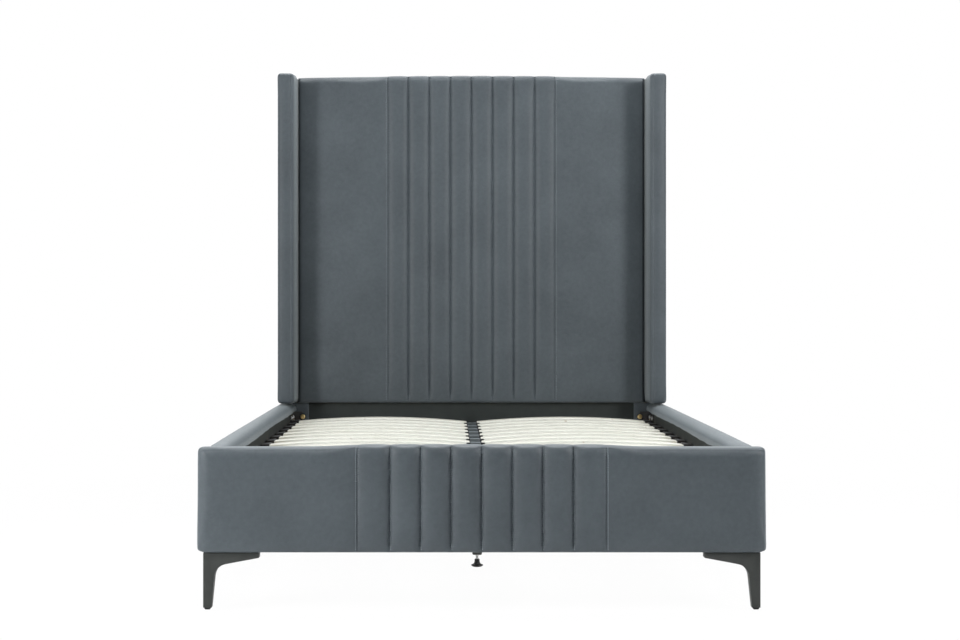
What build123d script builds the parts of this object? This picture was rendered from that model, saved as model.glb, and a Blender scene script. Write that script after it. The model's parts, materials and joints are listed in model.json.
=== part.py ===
from build123d import *
from math import atan, cos, degrees, pi
import os

# Wingback bed for a double mattress, upholstered in velvet, with a fluted headboard and
# footboard, two columns of sprung slats on a centre beam, and two levelling glides.
# Frame: +X to the right, +Y from the footboard to the headboard, +Z up. The origin is on the
# floor at the centre of the bed's plan. Right-hand pieces are drawn and mirrored to the left.

# Mattress, and the play that the bed leaves round it
mattress_width = 1350
mattress_length = 1900
mattress_side_play = 4.5
mattress_end_play = 8

# Heights of the upholstered sides
leg_height = 155
side_height = 282
deck_drop = 79

# Cloth and running fits
lining_thickness = 2
bolt_clearance = 0.3
thread_clearance = 0.05
cut_overrun = 5

# Footboard
footboard_overhang = 13.5
foot_pad_thickness = 26
foot_frame_thickness = 36
foot_end_padding = 10
foot_top_padding = 11
foot_round = 16
foot_plan_round = 12
foot_bays = 6

# Side rails
rail_step = 6.5
rail_lip_thickness = 14
rail_lip_height = 30
rail_frame_thickness = 42
rail_pad_thickness = 8
rail_top_padding = 10
rail_bottom_padding = 5
rail_round = 12
rail_bays = 8
lip_round = 6

# Timber battens of the padded frames
top_batten = 64
bottom_batten = 45
stud_width = 45

# Flutes sewn into both boards
flute_count = 8
flute_pitch = 82.5
foot_outer_flute = 87
head_outer_flute = 80
foot_flute_depth = 8
head_flute_depth = 7
flute_stand_out = 4
foot_flute_rise = 6
head_flute_rise = 2
panel_crown = 3

# Headboard
head_pad_thickness = 28
face_board_thickness = 6
stile_depth = 52
stile_width = 39.5
post_width = 97
sleeve_thickness = 2
head_frame_rise = 1253
head_top_padding = 12
head_arch = 9
head_round = 18
cross_rail_height = 60
mid_rail_shares = (0.33, 0.66)
low_rail_height = 178
low_rail_setback = 6
low_rail_thickness = 42
post_glide_radius = 18
post_glide_height = 8
post_glide_chamfer = 2

# Wings
wing_thickness = 64
wing_projection = 146
wing_padding = 10
wing_gap = 6
wing_round = 12
wing_corner_round = 20
wing_crown = 2
wing_top_step = 2
wing_bays = 6
wing_bolt_shares = (0.17, 0.5, 0.83)
wing_bolt_length = 80

# Slats, their holders and the ledges that carry them
slat_rows = 13
slat_width = 62
slat_thickness = 8
slat_bow = 17
slat_end_round = 14
slat_end_margin = 72
slat_centre_gap = 40
holder_floor = 3
holder_wall = 3
holder_length = 30
holder_back_wall = 4
holder_setback = 4
holder_roof = 4
holder_nose = 3
saddle_length = 86
saddle_cheek_height = 6
saddle_lug_length = 14
ledge_width = 40
ledge_height = 40
ledge_end_gap = 4

# Centre beam, its hangers and its legs
beam_width = 66
beam_height = 50
beam_round = 3
hanger_thickness = 3
hanger_seat_length = 45
hanger_flange = 26
hanger_rise_share = 0.8
centre_leg_width = 30
centre_leg_chamfer = 3
centre_leg_places_share = (0.356, 0.68)

# Levelling glides
glide_base_radius = 19
glide_sole_radius = 13
glide_rim_start = 4
glide_rim_height = 5.5
glide_waist_radius = 11.5
glide_waist_height = 9
glide_neck_radius = 8
glide_neck_start = 15
glide_height = 24
rod_radius = 4
rod_end_chamfer = 1.5
rod_length = 66
rod_depth_in_base = 14
rod_showing = 14
glide_up_travel = 10
nut_radius = 6
nut_length = 16
nut_flange_radius = 9
nut_flange_thickness = 1.5
nut_collar_radius = 5.5
nut_collar_height = 3
leg_bore_spare = 6

# Corner brackets and their bolts
bracket_thickness = 3
bracket_height = 41
bracket_lift = 3
bracket_arm_length = 150
bracket_bolt_inset = 37
bracket_end_radius = 12
rail_bolt_place_shares = (0.33, 0.8)
bolt_radius = 4
bolt_head_radius = 9.5
bolt_head_height = 5
bolt_head_crown = 2
bolt_socket_radius = 3.2
bolt_socket_depth = 3
bolt_socket_side_count = 6
bracket_bolt_length = 34
rail_bolt_length = 36

# Flat sides that stand in for a small round section, for a light mesh
round_side_count = 20
shank_side_count = 8

# Wood screws
screw_radius = 2.2
screw_head_radius = 4.5
screw_head_height = 3
ledge_screw_length = 66
hanger_screw_length = 30
studs_per_ledge_screw_count = 2

# Front corner legs
leg_inset = 12
leg_arm_length = 150.5
leg_arm_width = 36
leg_arm_end_height = 13
leg_seat_height = 2
leg_seat_inset = 1.5
leg_knee_reach = 33
leg_knee_drop = 35
leg_toe_width = 23
leg_knee_round = 38
leg_corner_round = 3
leg_crotch_round = 10
leg_foot_height = 6
leg_foot_width = 16.5
leg_foot_chamfer = 2.5
leg_screw_share = 0.62
leg_screw_radius = 3
leg_screw_head_radius = 5.5
leg_screw_head_height = 3
leg_screw_head_clearance = 0.5
leg_screw_length = 44

# Places across the bed, on the right-hand side
wing_inner_x = mattress_width / 2 + mattress_side_play
wing_outer_x = wing_inner_x + wing_thickness
rail_inner_x = wing_inner_x + rail_step
rail_frame_inner_x = rail_inner_x + rail_lip_thickness
rail_frame_outer_x = rail_frame_inner_x + rail_frame_thickness
rail_outer_x = rail_frame_outer_x + rail_pad_thickness
lining_x = rail_frame_inner_x - lining_thickness
foot_half_width = rail_outer_x + footboard_overhang
foot_frame_half_width = foot_half_width - foot_end_padding
post_inner_x = wing_inner_x - stile_width
post_outer_x = post_inner_x + post_width

# Places along the bed
footboard_thickness = foot_pad_thickness + foot_frame_thickness + lining_thickness
headboard_thickness = head_pad_thickness + face_board_thickness + stile_depth + lining_thickness
clear_length = mattress_length + 2 * mattress_end_play
half_length = (footboard_thickness + clear_length + headboard_thickness) / 2
foot_front_y = -half_length
foot_frame_front_y = foot_front_y + foot_pad_thickness
foot_frame_back_y = foot_frame_front_y + foot_frame_thickness
foot_back_y = foot_frame_back_y + lining_thickness
head_front_y = foot_back_y + clear_length
head_board_y = head_front_y + head_pad_thickness
stile_front_y = head_board_y + face_board_thickness
stile_back_y = stile_front_y + stile_depth
head_back_y = half_length
post_front_y = stile_front_y - sleeve_thickness
wing_front_y = head_front_y - wing_projection
low_rail_front_y = post_front_y + low_rail_setback

# Heights
rail_bottom_z = leg_height
rail_top_z = leg_height + side_height
frame_bottom_z = rail_bottom_z + rail_bottom_padding
rail_frame_top_z = rail_top_z - rail_top_padding
foot_frame_top_z = rail_top_z - foot_top_padding
lip_bottom_z = rail_top_z - rail_lip_height
ledge_top_z = rail_top_z - deck_drop
ledge_bottom_z = ledge_top_z - ledge_height
slat_seat_z = ledge_top_z + holder_floor
beam_bottom_z = ledge_top_z - beam_height
head_bottom_z = rail_top_z
head_frame_top_z = head_bottom_z + head_frame_rise
head_side_top_z = head_frame_top_z + head_top_padding
wing_bottom_z = rail_top_z + wing_gap
wing_top_z = head_side_top_z + wing_top_step
bracket_bottom_z = ledge_top_z + bracket_lift
bolt_z = bracket_bottom_z + bracket_height / 2
centre_leg_bottom_z = glide_height + rod_showing

# Rows of slats and the beam's legs along the bed
slat_inner_x = slat_centre_gap / 2
slat_outer_x = lining_x - holder_setback - holder_back_wall
slat_pitch = (clear_length - 2 * slat_end_margin) / (slat_rows - 1)
slat_places = [foot_back_y + slat_end_margin + row * slat_pitch for row in range(slat_rows)]
centre_leg_places = [foot_front_y + share * 2 * half_length for share in centre_leg_places_share]


def save(piece, label):
    """Label a finished piece and write it under its own name."""
    piece.part.label = label
    export_step(piece.part, f"parts/{label}.step")


def save_pair(piece, stem):
    """Write a right-hand piece, and its mirror image for the left."""
    with BuildPart() as twin:
        mirror(piece.part, about=Plane.YZ)
    save(piece, stem + "_right")
    save(twin, stem + "_left")


def block(low, high, mode=Mode.ADD):
    """Straight-sided block between its lowest and highest corners."""
    with BuildSketch(Plane.XY.offset(low[2])) as base:
        with Locations(((low[0] + high[0]) / 2, (low[1] + high[1]) / 2)):
            Rectangle(high[0] - low[0], high[1] - low[1])
    extrude(base.sketch, amount=high[2] - low[2], mode=mode)


def ladder(plane, low, high, thickness, bays):
    """Batten frame with equal bays, drawn flat on a plane and given its thickness."""
    length = high[0] - low[0]
    height = high[1] - low[1]
    bay_length = (length - (bays + 1) * stud_width) / bays
    bay_height = height - top_batten - bottom_batten
    centre = (low[0] + high[0]) / 2
    with BuildSketch(plane) as bays_view:
        with Locations((centre, (low[1] + high[1]) / 2)):
            Rectangle(length, height)
        with Locations((centre, low[1] + bottom_batten + bay_height / 2)):
            with GridLocations(bay_length + stud_width, bay_height, bays, 1):
                Rectangle(bay_length, bay_height, mode=Mode.SUBTRACT)
    extrude(bays_view.sketch, amount=thickness)


def stud_places(low, high, bays):
    """Middles of a ladder's studs along its length."""
    pitch = (high - low - stud_width) / bays
    return [low + stud_width / 2 + stud * pitch for stud in range(bays + 1)]


def seam_places(outer_flute):
    """Seams across a fluted board: equal inner flutes between two outer ones."""
    inner_half = (flute_count - 2) * flute_pitch / 2
    inner = [place * flute_pitch - inner_half for place in range(flute_count - 1)]
    return [-inner_half - outer_flute, *inner, inner_half + outer_flute]


def padded_edge(half_width, corner, panel, seam, crest, seams):
    """Edge of a fluted board: a crowned panel at each side and a flute between seams."""
    zone = seams[-1]
    middle = (half_width + zone) / 2
    ThreePointArc((-half_width, corner), (-middle, panel), (-zone, seam))
    for left, right in zip(seams, seams[1:]):
        ThreePointArc((left, seam), ((left + right) / 2, crest), (right, seam))
    ThreePointArc((zone, seam), (middle, panel), (half_width, corner))


def three_sides(half_width, corner, far):
    """Straight rest of a board's outline, from one end of its padded edge to the other."""
    Polyline((-half_width, corner), (-half_width, far), (half_width, far), (half_width, corner))


def end_corners(sketch):
    """Corners of an outline at its two ends."""
    columns = sketch.vertices().group_by(Axis.X)
    return columns[0] + columns[-1]


def round_end(plane, radius, side_count=round_side_count):
    """Section of a small round part, drawn with flat sides inside its circle."""
    with BuildSketch(plane) as end:
        RegularPolygon(radius, side_count)
    return end.sketch


def rod(plane, radius, length, mode=Mode.ADD):
    """Round head or bar, or a round recess, that runs from the plane against its normal."""
    extrude(round_end(plane, radius), amount=-length, mode=mode)


def shank(plane, radius, length, mode=Mode.ADD):
    """Shank of a fastener, or its hole, that runs from the plane against its normal."""
    extrude(round_end(plane, radius, shank_side_count), amount=-length, mode=mode)


def turned(x, y, rings):
    """Upright turned part from its rings, each a height and a radius, from the bottom up."""
    for ring, next_ring in zip(rings, rings[1:]):
        narrow, wide = sorted((ring, next_ring), key=lambda end: end[1])
        length = abs(narrow[0] - wide[0])
        flat_depth = (wide[1] - narrow[1]) * cos(pi / round_side_count)
        towards = upward if narrow[0] > wide[0] else downward
        extrude(round_end(facing(x, y, wide[0], towards), wide[1]), amount=length,
                taper=degrees(atan(flat_depth / length)))


def bolt(plane, length):
    """Button-headed bolt with a hexagon socket: its head sits on the plane, facing its normal."""
    top = plane.offset(bolt_head_height)
    loft([round_end(top, bolt_head_radius - bolt_head_crown),
          round_end(top.offset(-bolt_head_crown), bolt_head_radius)])
    rod(top.offset(-bolt_head_crown), bolt_head_radius, bolt_head_height - bolt_head_crown)
    with BuildSketch(top) as socket:
        RegularPolygon(bolt_socket_radius, bolt_socket_side_count)
    extrude(socket.sketch, amount=-bolt_socket_depth, mode=Mode.SUBTRACT)
    shank(plane, bolt_radius, length)


def bolt_hole(plane, depth):
    """Clearance hole for a bolt, from the plane against its normal."""
    shank(plane, bolt_radius + bolt_clearance, depth, Mode.SUBTRACT)


def screw(plane, length, mode=Mode.ADD):
    """Countersunk wood screw with its head flush with the plane, or the hole that it fills."""
    neck = plane.offset(-screw_head_height)
    loft([round_end(plane, screw_head_radius, shank_side_count),
          round_end(neck, screw_radius, shank_side_count)], mode=mode)
    shank(neck, screw_radius, length - screw_head_height, mode)


def facing(x, y, z, direction):
    """Plane for a fastener, centred on a point and looking along a direction."""
    return Plane(origin=(x, y, z), z_dir=direction)


# Places of the fasteners on the right-hand side
to_centre = (-1, 0, 0)
to_head = (0, 1, 0)
to_foot = (0, -1, 0)
downward = (0, 0, -1)
upward = (0, 0, 1)
bracket_bolt_x = lining_x - bracket_bolt_inset
rail_stud_places = stud_places(foot_back_y, post_front_y, rail_bays)
ledge_screw_places = rail_stud_places[::studs_per_ledge_screw_count]
ledge_screw_z = ledge_bottom_z + ledge_height / 2
ledge_face_x = lining_x - ledge_width
bracket_reaches = [bracket_thickness + share * (bracket_arm_length - bracket_thickness)
                   for share in rail_bolt_place_shares]
rail_bolt_places = ([foot_back_y + reach for reach in bracket_reaches]
                    + [post_front_y - reach for reach in bracket_reaches])
hanger_screw_x = beam_width / 2 + hanger_thickness + hanger_flange / 2
hanger_screw_z = beam_bottom_z + beam_height / 2
wing_height = wing_top_z - wing_bottom_z
wing_bolt_places = [wing_bottom_z + share * wing_height for share in wing_bolt_shares]
wing_bolt_y = (stile_front_y + stile_back_y) / 2
leg_outer_x = foot_half_width - leg_inset
leg_front_y = foot_front_y + leg_inset
leg_screw_reach = leg_screw_share * leg_arm_length
leg_screw_spots = [(leg_outer_x - leg_screw_reach, leg_front_y + leg_arm_width / 2),
                   (leg_outer_x - leg_arm_width / 2, leg_front_y + leg_screw_reach)]
leg_screw_start = leg_seat_height + leg_arm_end_height


def leg_screw_holes(depth):
    """Pilot holes for the corner legs' screws, up from the underside of the padded sides."""
    for x, y in leg_screw_spots:
        for side in (1, -1):
            shank(facing(side * x, y, rail_bottom_z, downward), leg_screw_radius, depth, Mode.SUBTRACT)


os.makedirs("parts", exist_ok=True)

# Footboard frame
with BuildPart() as footboard_frame:
    ladder(Plane.XZ.offset(-foot_frame_back_y), (-foot_frame_half_width, frame_bottom_z),
           (foot_frame_half_width, foot_frame_top_z), foot_frame_thickness, foot_bays)
    for side in (1, -1):
        bolt_hole(facing(side * bracket_bolt_x, foot_frame_back_y, bolt_z, to_head),
                  foot_frame_thickness)
        shank(facing(side * hanger_screw_x, foot_back_y, hanger_screw_z, to_head), screw_radius,
              hanger_screw_length - hanger_thickness, Mode.SUBTRACT)
    leg_screw_holes(leg_screw_length - leg_screw_start)
save(footboard_frame, "footboard_frame")

# Footboard pad: foam and velvet over the front, the ends, the top and the upper back
foot_seams = seam_places(foot_outer_flute)
foot_crest_z = rail_top_z + foot_flute_rise
with BuildPart() as footboard_pad:
    with BuildSketch(Plane.XY.offset(rail_bottom_z)) as foot_plan:
        with BuildLine():
            padded_edge(foot_half_width, foot_front_y + flute_stand_out + panel_crown,
                        foot_front_y + flute_stand_out, foot_front_y + foot_flute_depth,
                        foot_front_y, foot_seams)
            three_sides(foot_half_width, foot_front_y + flute_stand_out + panel_crown, foot_back_y)
        make_face()
        fillet(end_corners(foot_plan).group_by(Axis.Y)[0], foot_plan_round)
    extrude(amount=foot_crest_z - rail_bottom_z)
    with BuildSketch(Plane.XZ):
        with BuildLine():
            padded_edge(foot_half_width, rail_top_z, rail_top_z + panel_crown / 2, rail_top_z,
                        foot_crest_z, foot_seams)
            three_sides(foot_half_width, rail_top_z, rail_bottom_z)
        make_face()
    extrude(amount=half_length + cut_overrun, both=True, mode=Mode.INTERSECT)
    with BuildSketch(Plane.YZ) as foot_side:
        with Locations(((foot_front_y + foot_back_y) / 2, (rail_bottom_z + foot_crest_z) / 2)):
            Rectangle(footboard_thickness, foot_crest_z - rail_bottom_z)
        fillet(foot_side.vertices().group_by(Axis.Y)[-1], foot_round)
        fillet(foot_side.vertices().group_by(Axis.Y)[0].group_by(Axis.X)[0], foot_plan_round)
    extrude(amount=foot_half_width + cut_overrun, both=True, mode=Mode.INTERSECT)
    block((-foot_frame_half_width, foot_frame_front_y, frame_bottom_z),
          (foot_frame_half_width, foot_frame_back_y, foot_frame_top_z), Mode.SUBTRACT)
    block((-foot_frame_half_width, foot_frame_back_y, frame_bottom_z),
          (foot_frame_half_width, foot_back_y + cut_overrun, lip_bottom_z), Mode.SUBTRACT)
    leg_screw_holes(rail_bottom_padding)
save(footboard_pad, "footboard_pad")

# Footboard lining: black cloth over the inner face, below the velvet lip
with BuildPart() as footboard_lining:
    block((-foot_frame_half_width, foot_frame_back_y, frame_bottom_z),
          (foot_frame_half_width, foot_back_y, lip_bottom_z))
    for side in (1, -1):
        bolt_hole(facing(side * bracket_bolt_x, foot_back_y, bolt_z, to_head), lining_thickness)
        shank(facing(side * hanger_screw_x, foot_back_y, hanger_screw_z, to_head), screw_radius,
              lining_thickness, Mode.SUBTRACT)
save(footboard_lining, "footboard_lining")

# Side rail frame
with BuildPart() as rail_frame:
    ladder(Plane.YZ.offset(rail_frame_inner_x), (foot_back_y, frame_bottom_z),
           (post_front_y, rail_frame_top_z), rail_frame_thickness, rail_bays)
    for place in rail_bolt_places:
        bolt_hole(facing(rail_frame_inner_x, place, bolt_z, to_centre), rail_frame_thickness)
    for place in ledge_screw_places:
        shank(facing(ledge_face_x, place, ledge_screw_z, to_centre), screw_radius,
              ledge_screw_length, Mode.SUBTRACT)
    leg_screw_holes(leg_screw_length - leg_screw_start)
save_pair(rail_frame, "rail_frame")

# Side rail pad: velvet over the outside, the bottom and the top, turned down inside as a lip
with BuildPart() as rail_pad:
    with BuildSketch(Plane.XZ.offset(-post_front_y)) as rail_section:
        with BuildLine():
            ThreePointArc((rail_outer_x, rail_top_z),
                          ((rail_inner_x + rail_outer_x) / 2, rail_top_z + panel_crown / 2),
                          (rail_inner_x, rail_top_z))
            Polyline((rail_inner_x, rail_top_z), (rail_inner_x, lip_bottom_z),
                     (rail_frame_inner_x, lip_bottom_z), (rail_frame_inner_x, rail_frame_top_z),
                     (rail_frame_outer_x, rail_frame_top_z), (rail_frame_outer_x, frame_bottom_z),
                     (rail_frame_inner_x, frame_bottom_z), (rail_frame_inner_x, rail_bottom_z),
                     (rail_outer_x, rail_bottom_z), (rail_outer_x, rail_top_z))
        make_face()
        fillet(rail_section.vertices().group_by(Axis.Y)[-1], rail_round)
        fillet(rail_section.vertices().sort_by_distance((rail_inner_x, lip_bottom_z))[0], lip_round)
        fillet(rail_section.vertices().sort_by_distance((rail_outer_x, rail_bottom_z))[0], lip_round)
    extrude(amount=post_front_y - foot_back_y)
    leg_screw_holes(rail_bottom_padding)
save_pair(rail_pad, "rail_pad")

# Side rail lining: black cloth inside the rail, below the lip
with BuildPart() as rail_lining:
    block((lining_x, foot_back_y, frame_bottom_z), (rail_frame_inner_x, post_front_y, lip_bottom_z))
    for place in rail_bolt_places:
        bolt_hole(facing(lining_x, place, bolt_z, to_centre), lining_thickness)
    for place in ledge_screw_places:
        shank(facing(lining_x, place, ledge_screw_z, to_centre), screw_radius, lining_thickness,
              Mode.SUBTRACT)
save_pair(rail_lining, "rail_lining")

# Ledge that carries the outer ends of the slats
with BuildPart() as slat_ledge:
    block((ledge_face_x, foot_back_y + ledge_end_gap, ledge_bottom_z),
          (lining_x, post_front_y - ledge_end_gap, ledge_top_z))
    chamfer(slat_ledge.edges().filter_by(Axis.Y).group_by(Axis.X)[0], holder_nose)
    for place in ledge_screw_places:
        screw(facing(ledge_face_x, place, ledge_screw_z, to_centre), ledge_screw_length, Mode.SUBTRACT)
save_pair(slat_ledge, "slat_ledge")

# Stile: it stands on the floor as a wide post, and rises behind the panel as the frame's side
with BuildPart() as headboard_stile:
    with BuildSketch(Plane.XZ.offset(-stile_back_y)):
        with BuildLine():
            Polyline((post_inner_x, post_glide_height), (post_outer_x, post_glide_height),
                     (post_outer_x, head_bottom_z), (wing_inner_x, head_bottom_z),
                     (wing_inner_x, head_frame_top_z), (post_inner_x, head_frame_top_z), close=True)
        make_face()
    extrude(amount=stile_depth)
    bolt_hole(facing(bracket_bolt_x, stile_front_y, bolt_z, to_foot), stile_depth)
    for place in wing_bolt_places:
        bolt_hole(facing(post_inner_x, wing_bolt_y, place, to_centre), stile_width)
save_pair(headboard_stile, "headboard_stile")

# Cross rails of the headboard frame
cross_rail_places = [head_bottom_z + share * (head_frame_rise - cross_rail_height)
                     for share in (0, *mid_rail_shares, 1)]
with BuildPart() as headboard_rails:
    for place in cross_rail_places:
        block((-post_inner_x, stile_front_y, place),
              (post_inner_x, stile_back_y, place + cross_rail_height))
save(headboard_rails, "headboard_rails")

# Face board, which backs the foam
with BuildPart() as headboard_face_board:
    block((-wing_inner_x, head_board_y, head_bottom_z), (wing_inner_x, stile_front_y, head_frame_top_z))
save(headboard_face_board, "headboard_face_board")

# Headboard pad: fluted foam and velvet, wrapped over the top of the frame
head_seams = seam_places(head_outer_flute)
head_seam_z = head_side_top_z + head_arch
head_crest_z = head_seam_z + head_flute_rise
with BuildPart() as headboard_pad:
    with BuildSketch(Plane.XY.offset(head_bottom_z)):
        with BuildLine():
            padded_edge(wing_inner_x, head_front_y + flute_stand_out + panel_crown,
                        head_front_y + flute_stand_out, head_front_y + head_flute_depth,
                        head_front_y, head_seams)
            three_sides(wing_inner_x, head_front_y + flute_stand_out + panel_crown, head_back_y)
        make_face()
    extrude(amount=head_crest_z - head_bottom_z)
    with BuildSketch(Plane.XZ):
        with BuildLine():
            padded_edge(wing_inner_x, head_side_top_z, head_side_top_z + 2 * panel_crown,
                        head_seam_z, head_crest_z, head_seams)
            three_sides(wing_inner_x, head_side_top_z, head_bottom_z)
        make_face()
    extrude(amount=half_length + cut_overrun, both=True, mode=Mode.INTERSECT)
    with BuildSketch(Plane.YZ) as head_side:
        with Locations(((head_front_y + head_back_y) / 2, (head_bottom_z + head_crest_z) / 2)):
            Rectangle(headboard_thickness, head_crest_z - head_bottom_z)
        fillet(head_side.vertices().group_by(Axis.Y)[-1], head_round)
        fillet(head_side.vertices().group_by(Axis.Y)[0].group_by(Axis.X)[0], lip_round)
    extrude(amount=foot_half_width, both=True, mode=Mode.INTERSECT)
    block((-foot_half_width, head_board_y, head_bottom_z - cut_overrun),
          (foot_half_width, head_back_y + cut_overrun, head_frame_top_z), Mode.SUBTRACT)
save(headboard_pad, "headboard_pad")

# Black cloth over the back of the headboard
with BuildPart() as headboard_back_cloth:
    block((-wing_inner_x, stile_back_y, head_bottom_z), (wing_inner_x, head_back_y, head_frame_top_z))
save(headboard_back_cloth, "headboard_back_cloth")

# Low rail between the posts, covered in black cloth, which carries the beam's head end
with BuildPart() as headboard_low_rail:
    block((-post_inner_x + sleeve_thickness, low_rail_front_y, head_bottom_z - low_rail_height),
          (post_inner_x - sleeve_thickness, low_rail_front_y + low_rail_thickness, head_bottom_z))
    for side in (1, -1):
        shank(facing(side * hanger_screw_x, low_rail_front_y, hanger_screw_z, to_foot), screw_radius,
              hanger_screw_length - hanger_thickness, Mode.SUBTRACT)
save(headboard_low_rail, "headboard_low_rail")

# Velvet sleeves round the posts, below the panel
with BuildPart() as post_sleeves:
    for side in (1, -1):
        with BuildSketch(Plane.XY.offset(post_glide_height)):
            with Locations((side * (post_inner_x + post_outer_x) / 2, (post_front_y + head_back_y) / 2)):
                Rectangle(post_width + 2 * sleeve_thickness, stile_depth + 2 * sleeve_thickness)
                Rectangle(post_width, stile_depth, mode=Mode.SUBTRACT)
        extrude(amount=head_bottom_z - post_glide_height)
        bolt_hole(facing(side * bracket_bolt_x, post_front_y, bolt_z, to_foot), sleeve_thickness)
save(post_sleeves, "post_sleeves")

# Plastic glides under the posts
with BuildPart() as post_glides:
    for side in (1, -1):
        rod(facing(side * (post_inner_x + post_outer_x) / 2, wing_bolt_y, 0, downward),
            post_glide_radius, post_glide_height)
    chamfer(post_glides.edges().group_by(Axis.Z)[0], post_glide_chamfer)
save(post_glides, "post_glides")

# Wing frame, inside the wing's padding
wing_frame_inner_x = wing_inner_x + wing_padding
with BuildPart() as wing_frame:
    ladder(Plane(origin=(wing_frame_inner_x, 0, 0), x_dir=(0, 0, 1), z_dir=(1, 0, 0)),
           (wing_bottom_z + wing_padding, wing_padding - head_back_y),
           (wing_top_z - wing_padding, -wing_front_y - wing_padding),
           wing_thickness - 2 * wing_padding, wing_bays)
    for place in wing_bolt_places:
        bolt_hole(facing(wing_frame_inner_x, wing_bolt_y, place, to_centre),
                  wing_bolt_length - stile_width - wing_padding)
save_pair(wing_frame, "wing_frame")

# Wing pad: foam and velvet round the whole wing, with soft corners and a crowned front
with BuildPart() as wing_pad:
    with BuildSketch(Plane.XY.offset(wing_bottom_z)) as wing_plan:
        with BuildLine():
            ThreePointArc((wing_inner_x, wing_front_y + wing_crown),
                          ((wing_inner_x + wing_outer_x) / 2, wing_front_y),
                          (wing_outer_x, wing_front_y + wing_crown))
            Polyline((wing_outer_x, wing_front_y + wing_crown), (wing_outer_x, head_back_y),
                     (wing_inner_x, head_back_y), (wing_inner_x, wing_front_y + wing_crown))
        make_face()
        fillet(wing_plan.vertices().group_by(Axis.Y)[0], wing_round)
    extrude(amount=wing_height)
    with BuildSketch(Plane.XZ):
        with Locations(((wing_inner_x + wing_outer_x) / 2, (wing_bottom_z + wing_top_z) / 2)):
            RectangleRounded(wing_thickness, wing_height, wing_round)
    extrude(amount=half_length + cut_overrun, both=True, mode=Mode.INTERSECT)
    with BuildSketch(Plane.YZ) as wing_side:
        with Locations(((wing_front_y + head_back_y) / 2, (wing_bottom_z + wing_top_z) / 2)):
            Rectangle(head_back_y - wing_front_y, wing_height)
        fillet(wing_side.vertices().group_by(Axis.X)[0], wing_corner_round)
    extrude(amount=foot_half_width, mode=Mode.INTERSECT)
    block((wing_frame_inner_x, wing_front_y + wing_padding, wing_bottom_z + wing_padding),
          (wing_outer_x - wing_padding, head_back_y - wing_padding, wing_top_z - wing_padding),
          Mode.SUBTRACT)
    for place in wing_bolt_places:
        bolt_hole(facing(wing_inner_x, wing_bolt_y, place, to_centre), wing_padding)
save_pair(wing_pad, "wing_pad")

# Bolts from inside the stiles into the wings
with BuildPart() as wing_bolts:
    for place in wing_bolt_places:
        bolt(facing(post_inner_x, wing_bolt_y, place, to_centre), wing_bolt_length)
    mirror(about=Plane.YZ)
save(wing_bolts, "wing_bolts")

# Corner brackets: a short flange on the board and a long arm on the rail
for end, board_y, along in (("foot", foot_back_y, 1), ("head", post_front_y, -1)):
    with BuildPart() as bracket:
        with BuildSketch(Plane.XY.offset(bracket_bottom_z)):
            with BuildLine():
                Polyline((lining_x, board_y), (bracket_bolt_x, board_y),
                         (bracket_bolt_x, board_y + along * bracket_thickness),
                         (lining_x - bracket_thickness, board_y + along * bracket_thickness),
                         (lining_x - bracket_thickness, board_y + along * bracket_arm_length),
                         (lining_x, board_y + along * bracket_arm_length), close=True)
            make_face()
        extrude(amount=bracket_height)
        with BuildSketch(facing(bracket_bolt_x, board_y, bolt_z, (0, along, 0))):
            Circle(bracket_end_radius)
        extrude(amount=bracket_thickness)
        bolt_hole(facing(bracket_bolt_x, board_y + along * bracket_thickness, bolt_z, (0, along, 0)),
                  bracket_thickness)
        for reach in bracket_reaches:
            bolt_hole(facing(lining_x - bracket_thickness, board_y + along * reach, bolt_z, to_centre),
                      bracket_thickness)
    save_pair(bracket, end + "_bracket")

# Bolts through the brackets into the boards, and into the rails
with BuildPart() as bracket_bolts:
    bolt(facing(bracket_bolt_x, foot_back_y + bracket_thickness, bolt_z, to_head), bracket_bolt_length)
    bolt(facing(bracket_bolt_x, post_front_y - bracket_thickness, bolt_z, to_foot), bracket_bolt_length)
    mirror(about=Plane.YZ)
save(bracket_bolts, "bracket_bolts")

with BuildPart() as rail_bolts:
    for place in rail_bolt_places:
        bolt(facing(lining_x - bracket_thickness, place, bolt_z, to_centre), rail_bolt_length)
    mirror(about=Plane.YZ)
save(rail_bolts, "rail_bolts")

# Centre beam, wrapped in velvet
beam_foot_y = foot_back_y + hanger_thickness
beam_head_y = low_rail_front_y - hanger_thickness
with BuildPart() as centre_beam:
    with BuildSketch(Plane.XZ.offset(-beam_head_y)):
        with Locations((0, beam_bottom_z + beam_height / 2)):
            RectangleRounded(beam_width, beam_height, beam_round)
    extrude(amount=beam_head_y - beam_foot_y)
save(centre_beam, "centre_beam")

# Steel hangers that hold the beam's two ends
hanger_height = hanger_rise_share * beam_height
with BuildPart() as beam_hangers:
    for board_y, along in ((foot_back_y, 1), (low_rail_front_y, -1)):
        with BuildSketch(Plane.XZ.offset(-board_y)):
            with Locations((0, beam_bottom_z - hanger_thickness + hanger_height / 2)):
                Rectangle(beam_width + 2 * (hanger_thickness + hanger_flange), hanger_height)
        extrude(amount=-along * hanger_thickness)
        with BuildSketch(Plane.XZ.offset(-board_y - along * hanger_thickness)):
            with Locations((0, beam_bottom_z - hanger_thickness + hanger_height / 2)):
                Rectangle(beam_width + 2 * hanger_thickness, hanger_height)
            with Locations((0, beam_bottom_z + beam_height / 2)):
                Rectangle(beam_width, beam_height, mode=Mode.SUBTRACT)
        extrude(amount=-along * hanger_seat_length)
        for side in (1, -1):
            screw(facing(side * hanger_screw_x, board_y + along * hanger_thickness,
                         hanger_screw_z, (0, along, 0)), hanger_screw_length, Mode.SUBTRACT)
save(beam_hangers, "beam_hangers")

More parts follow.
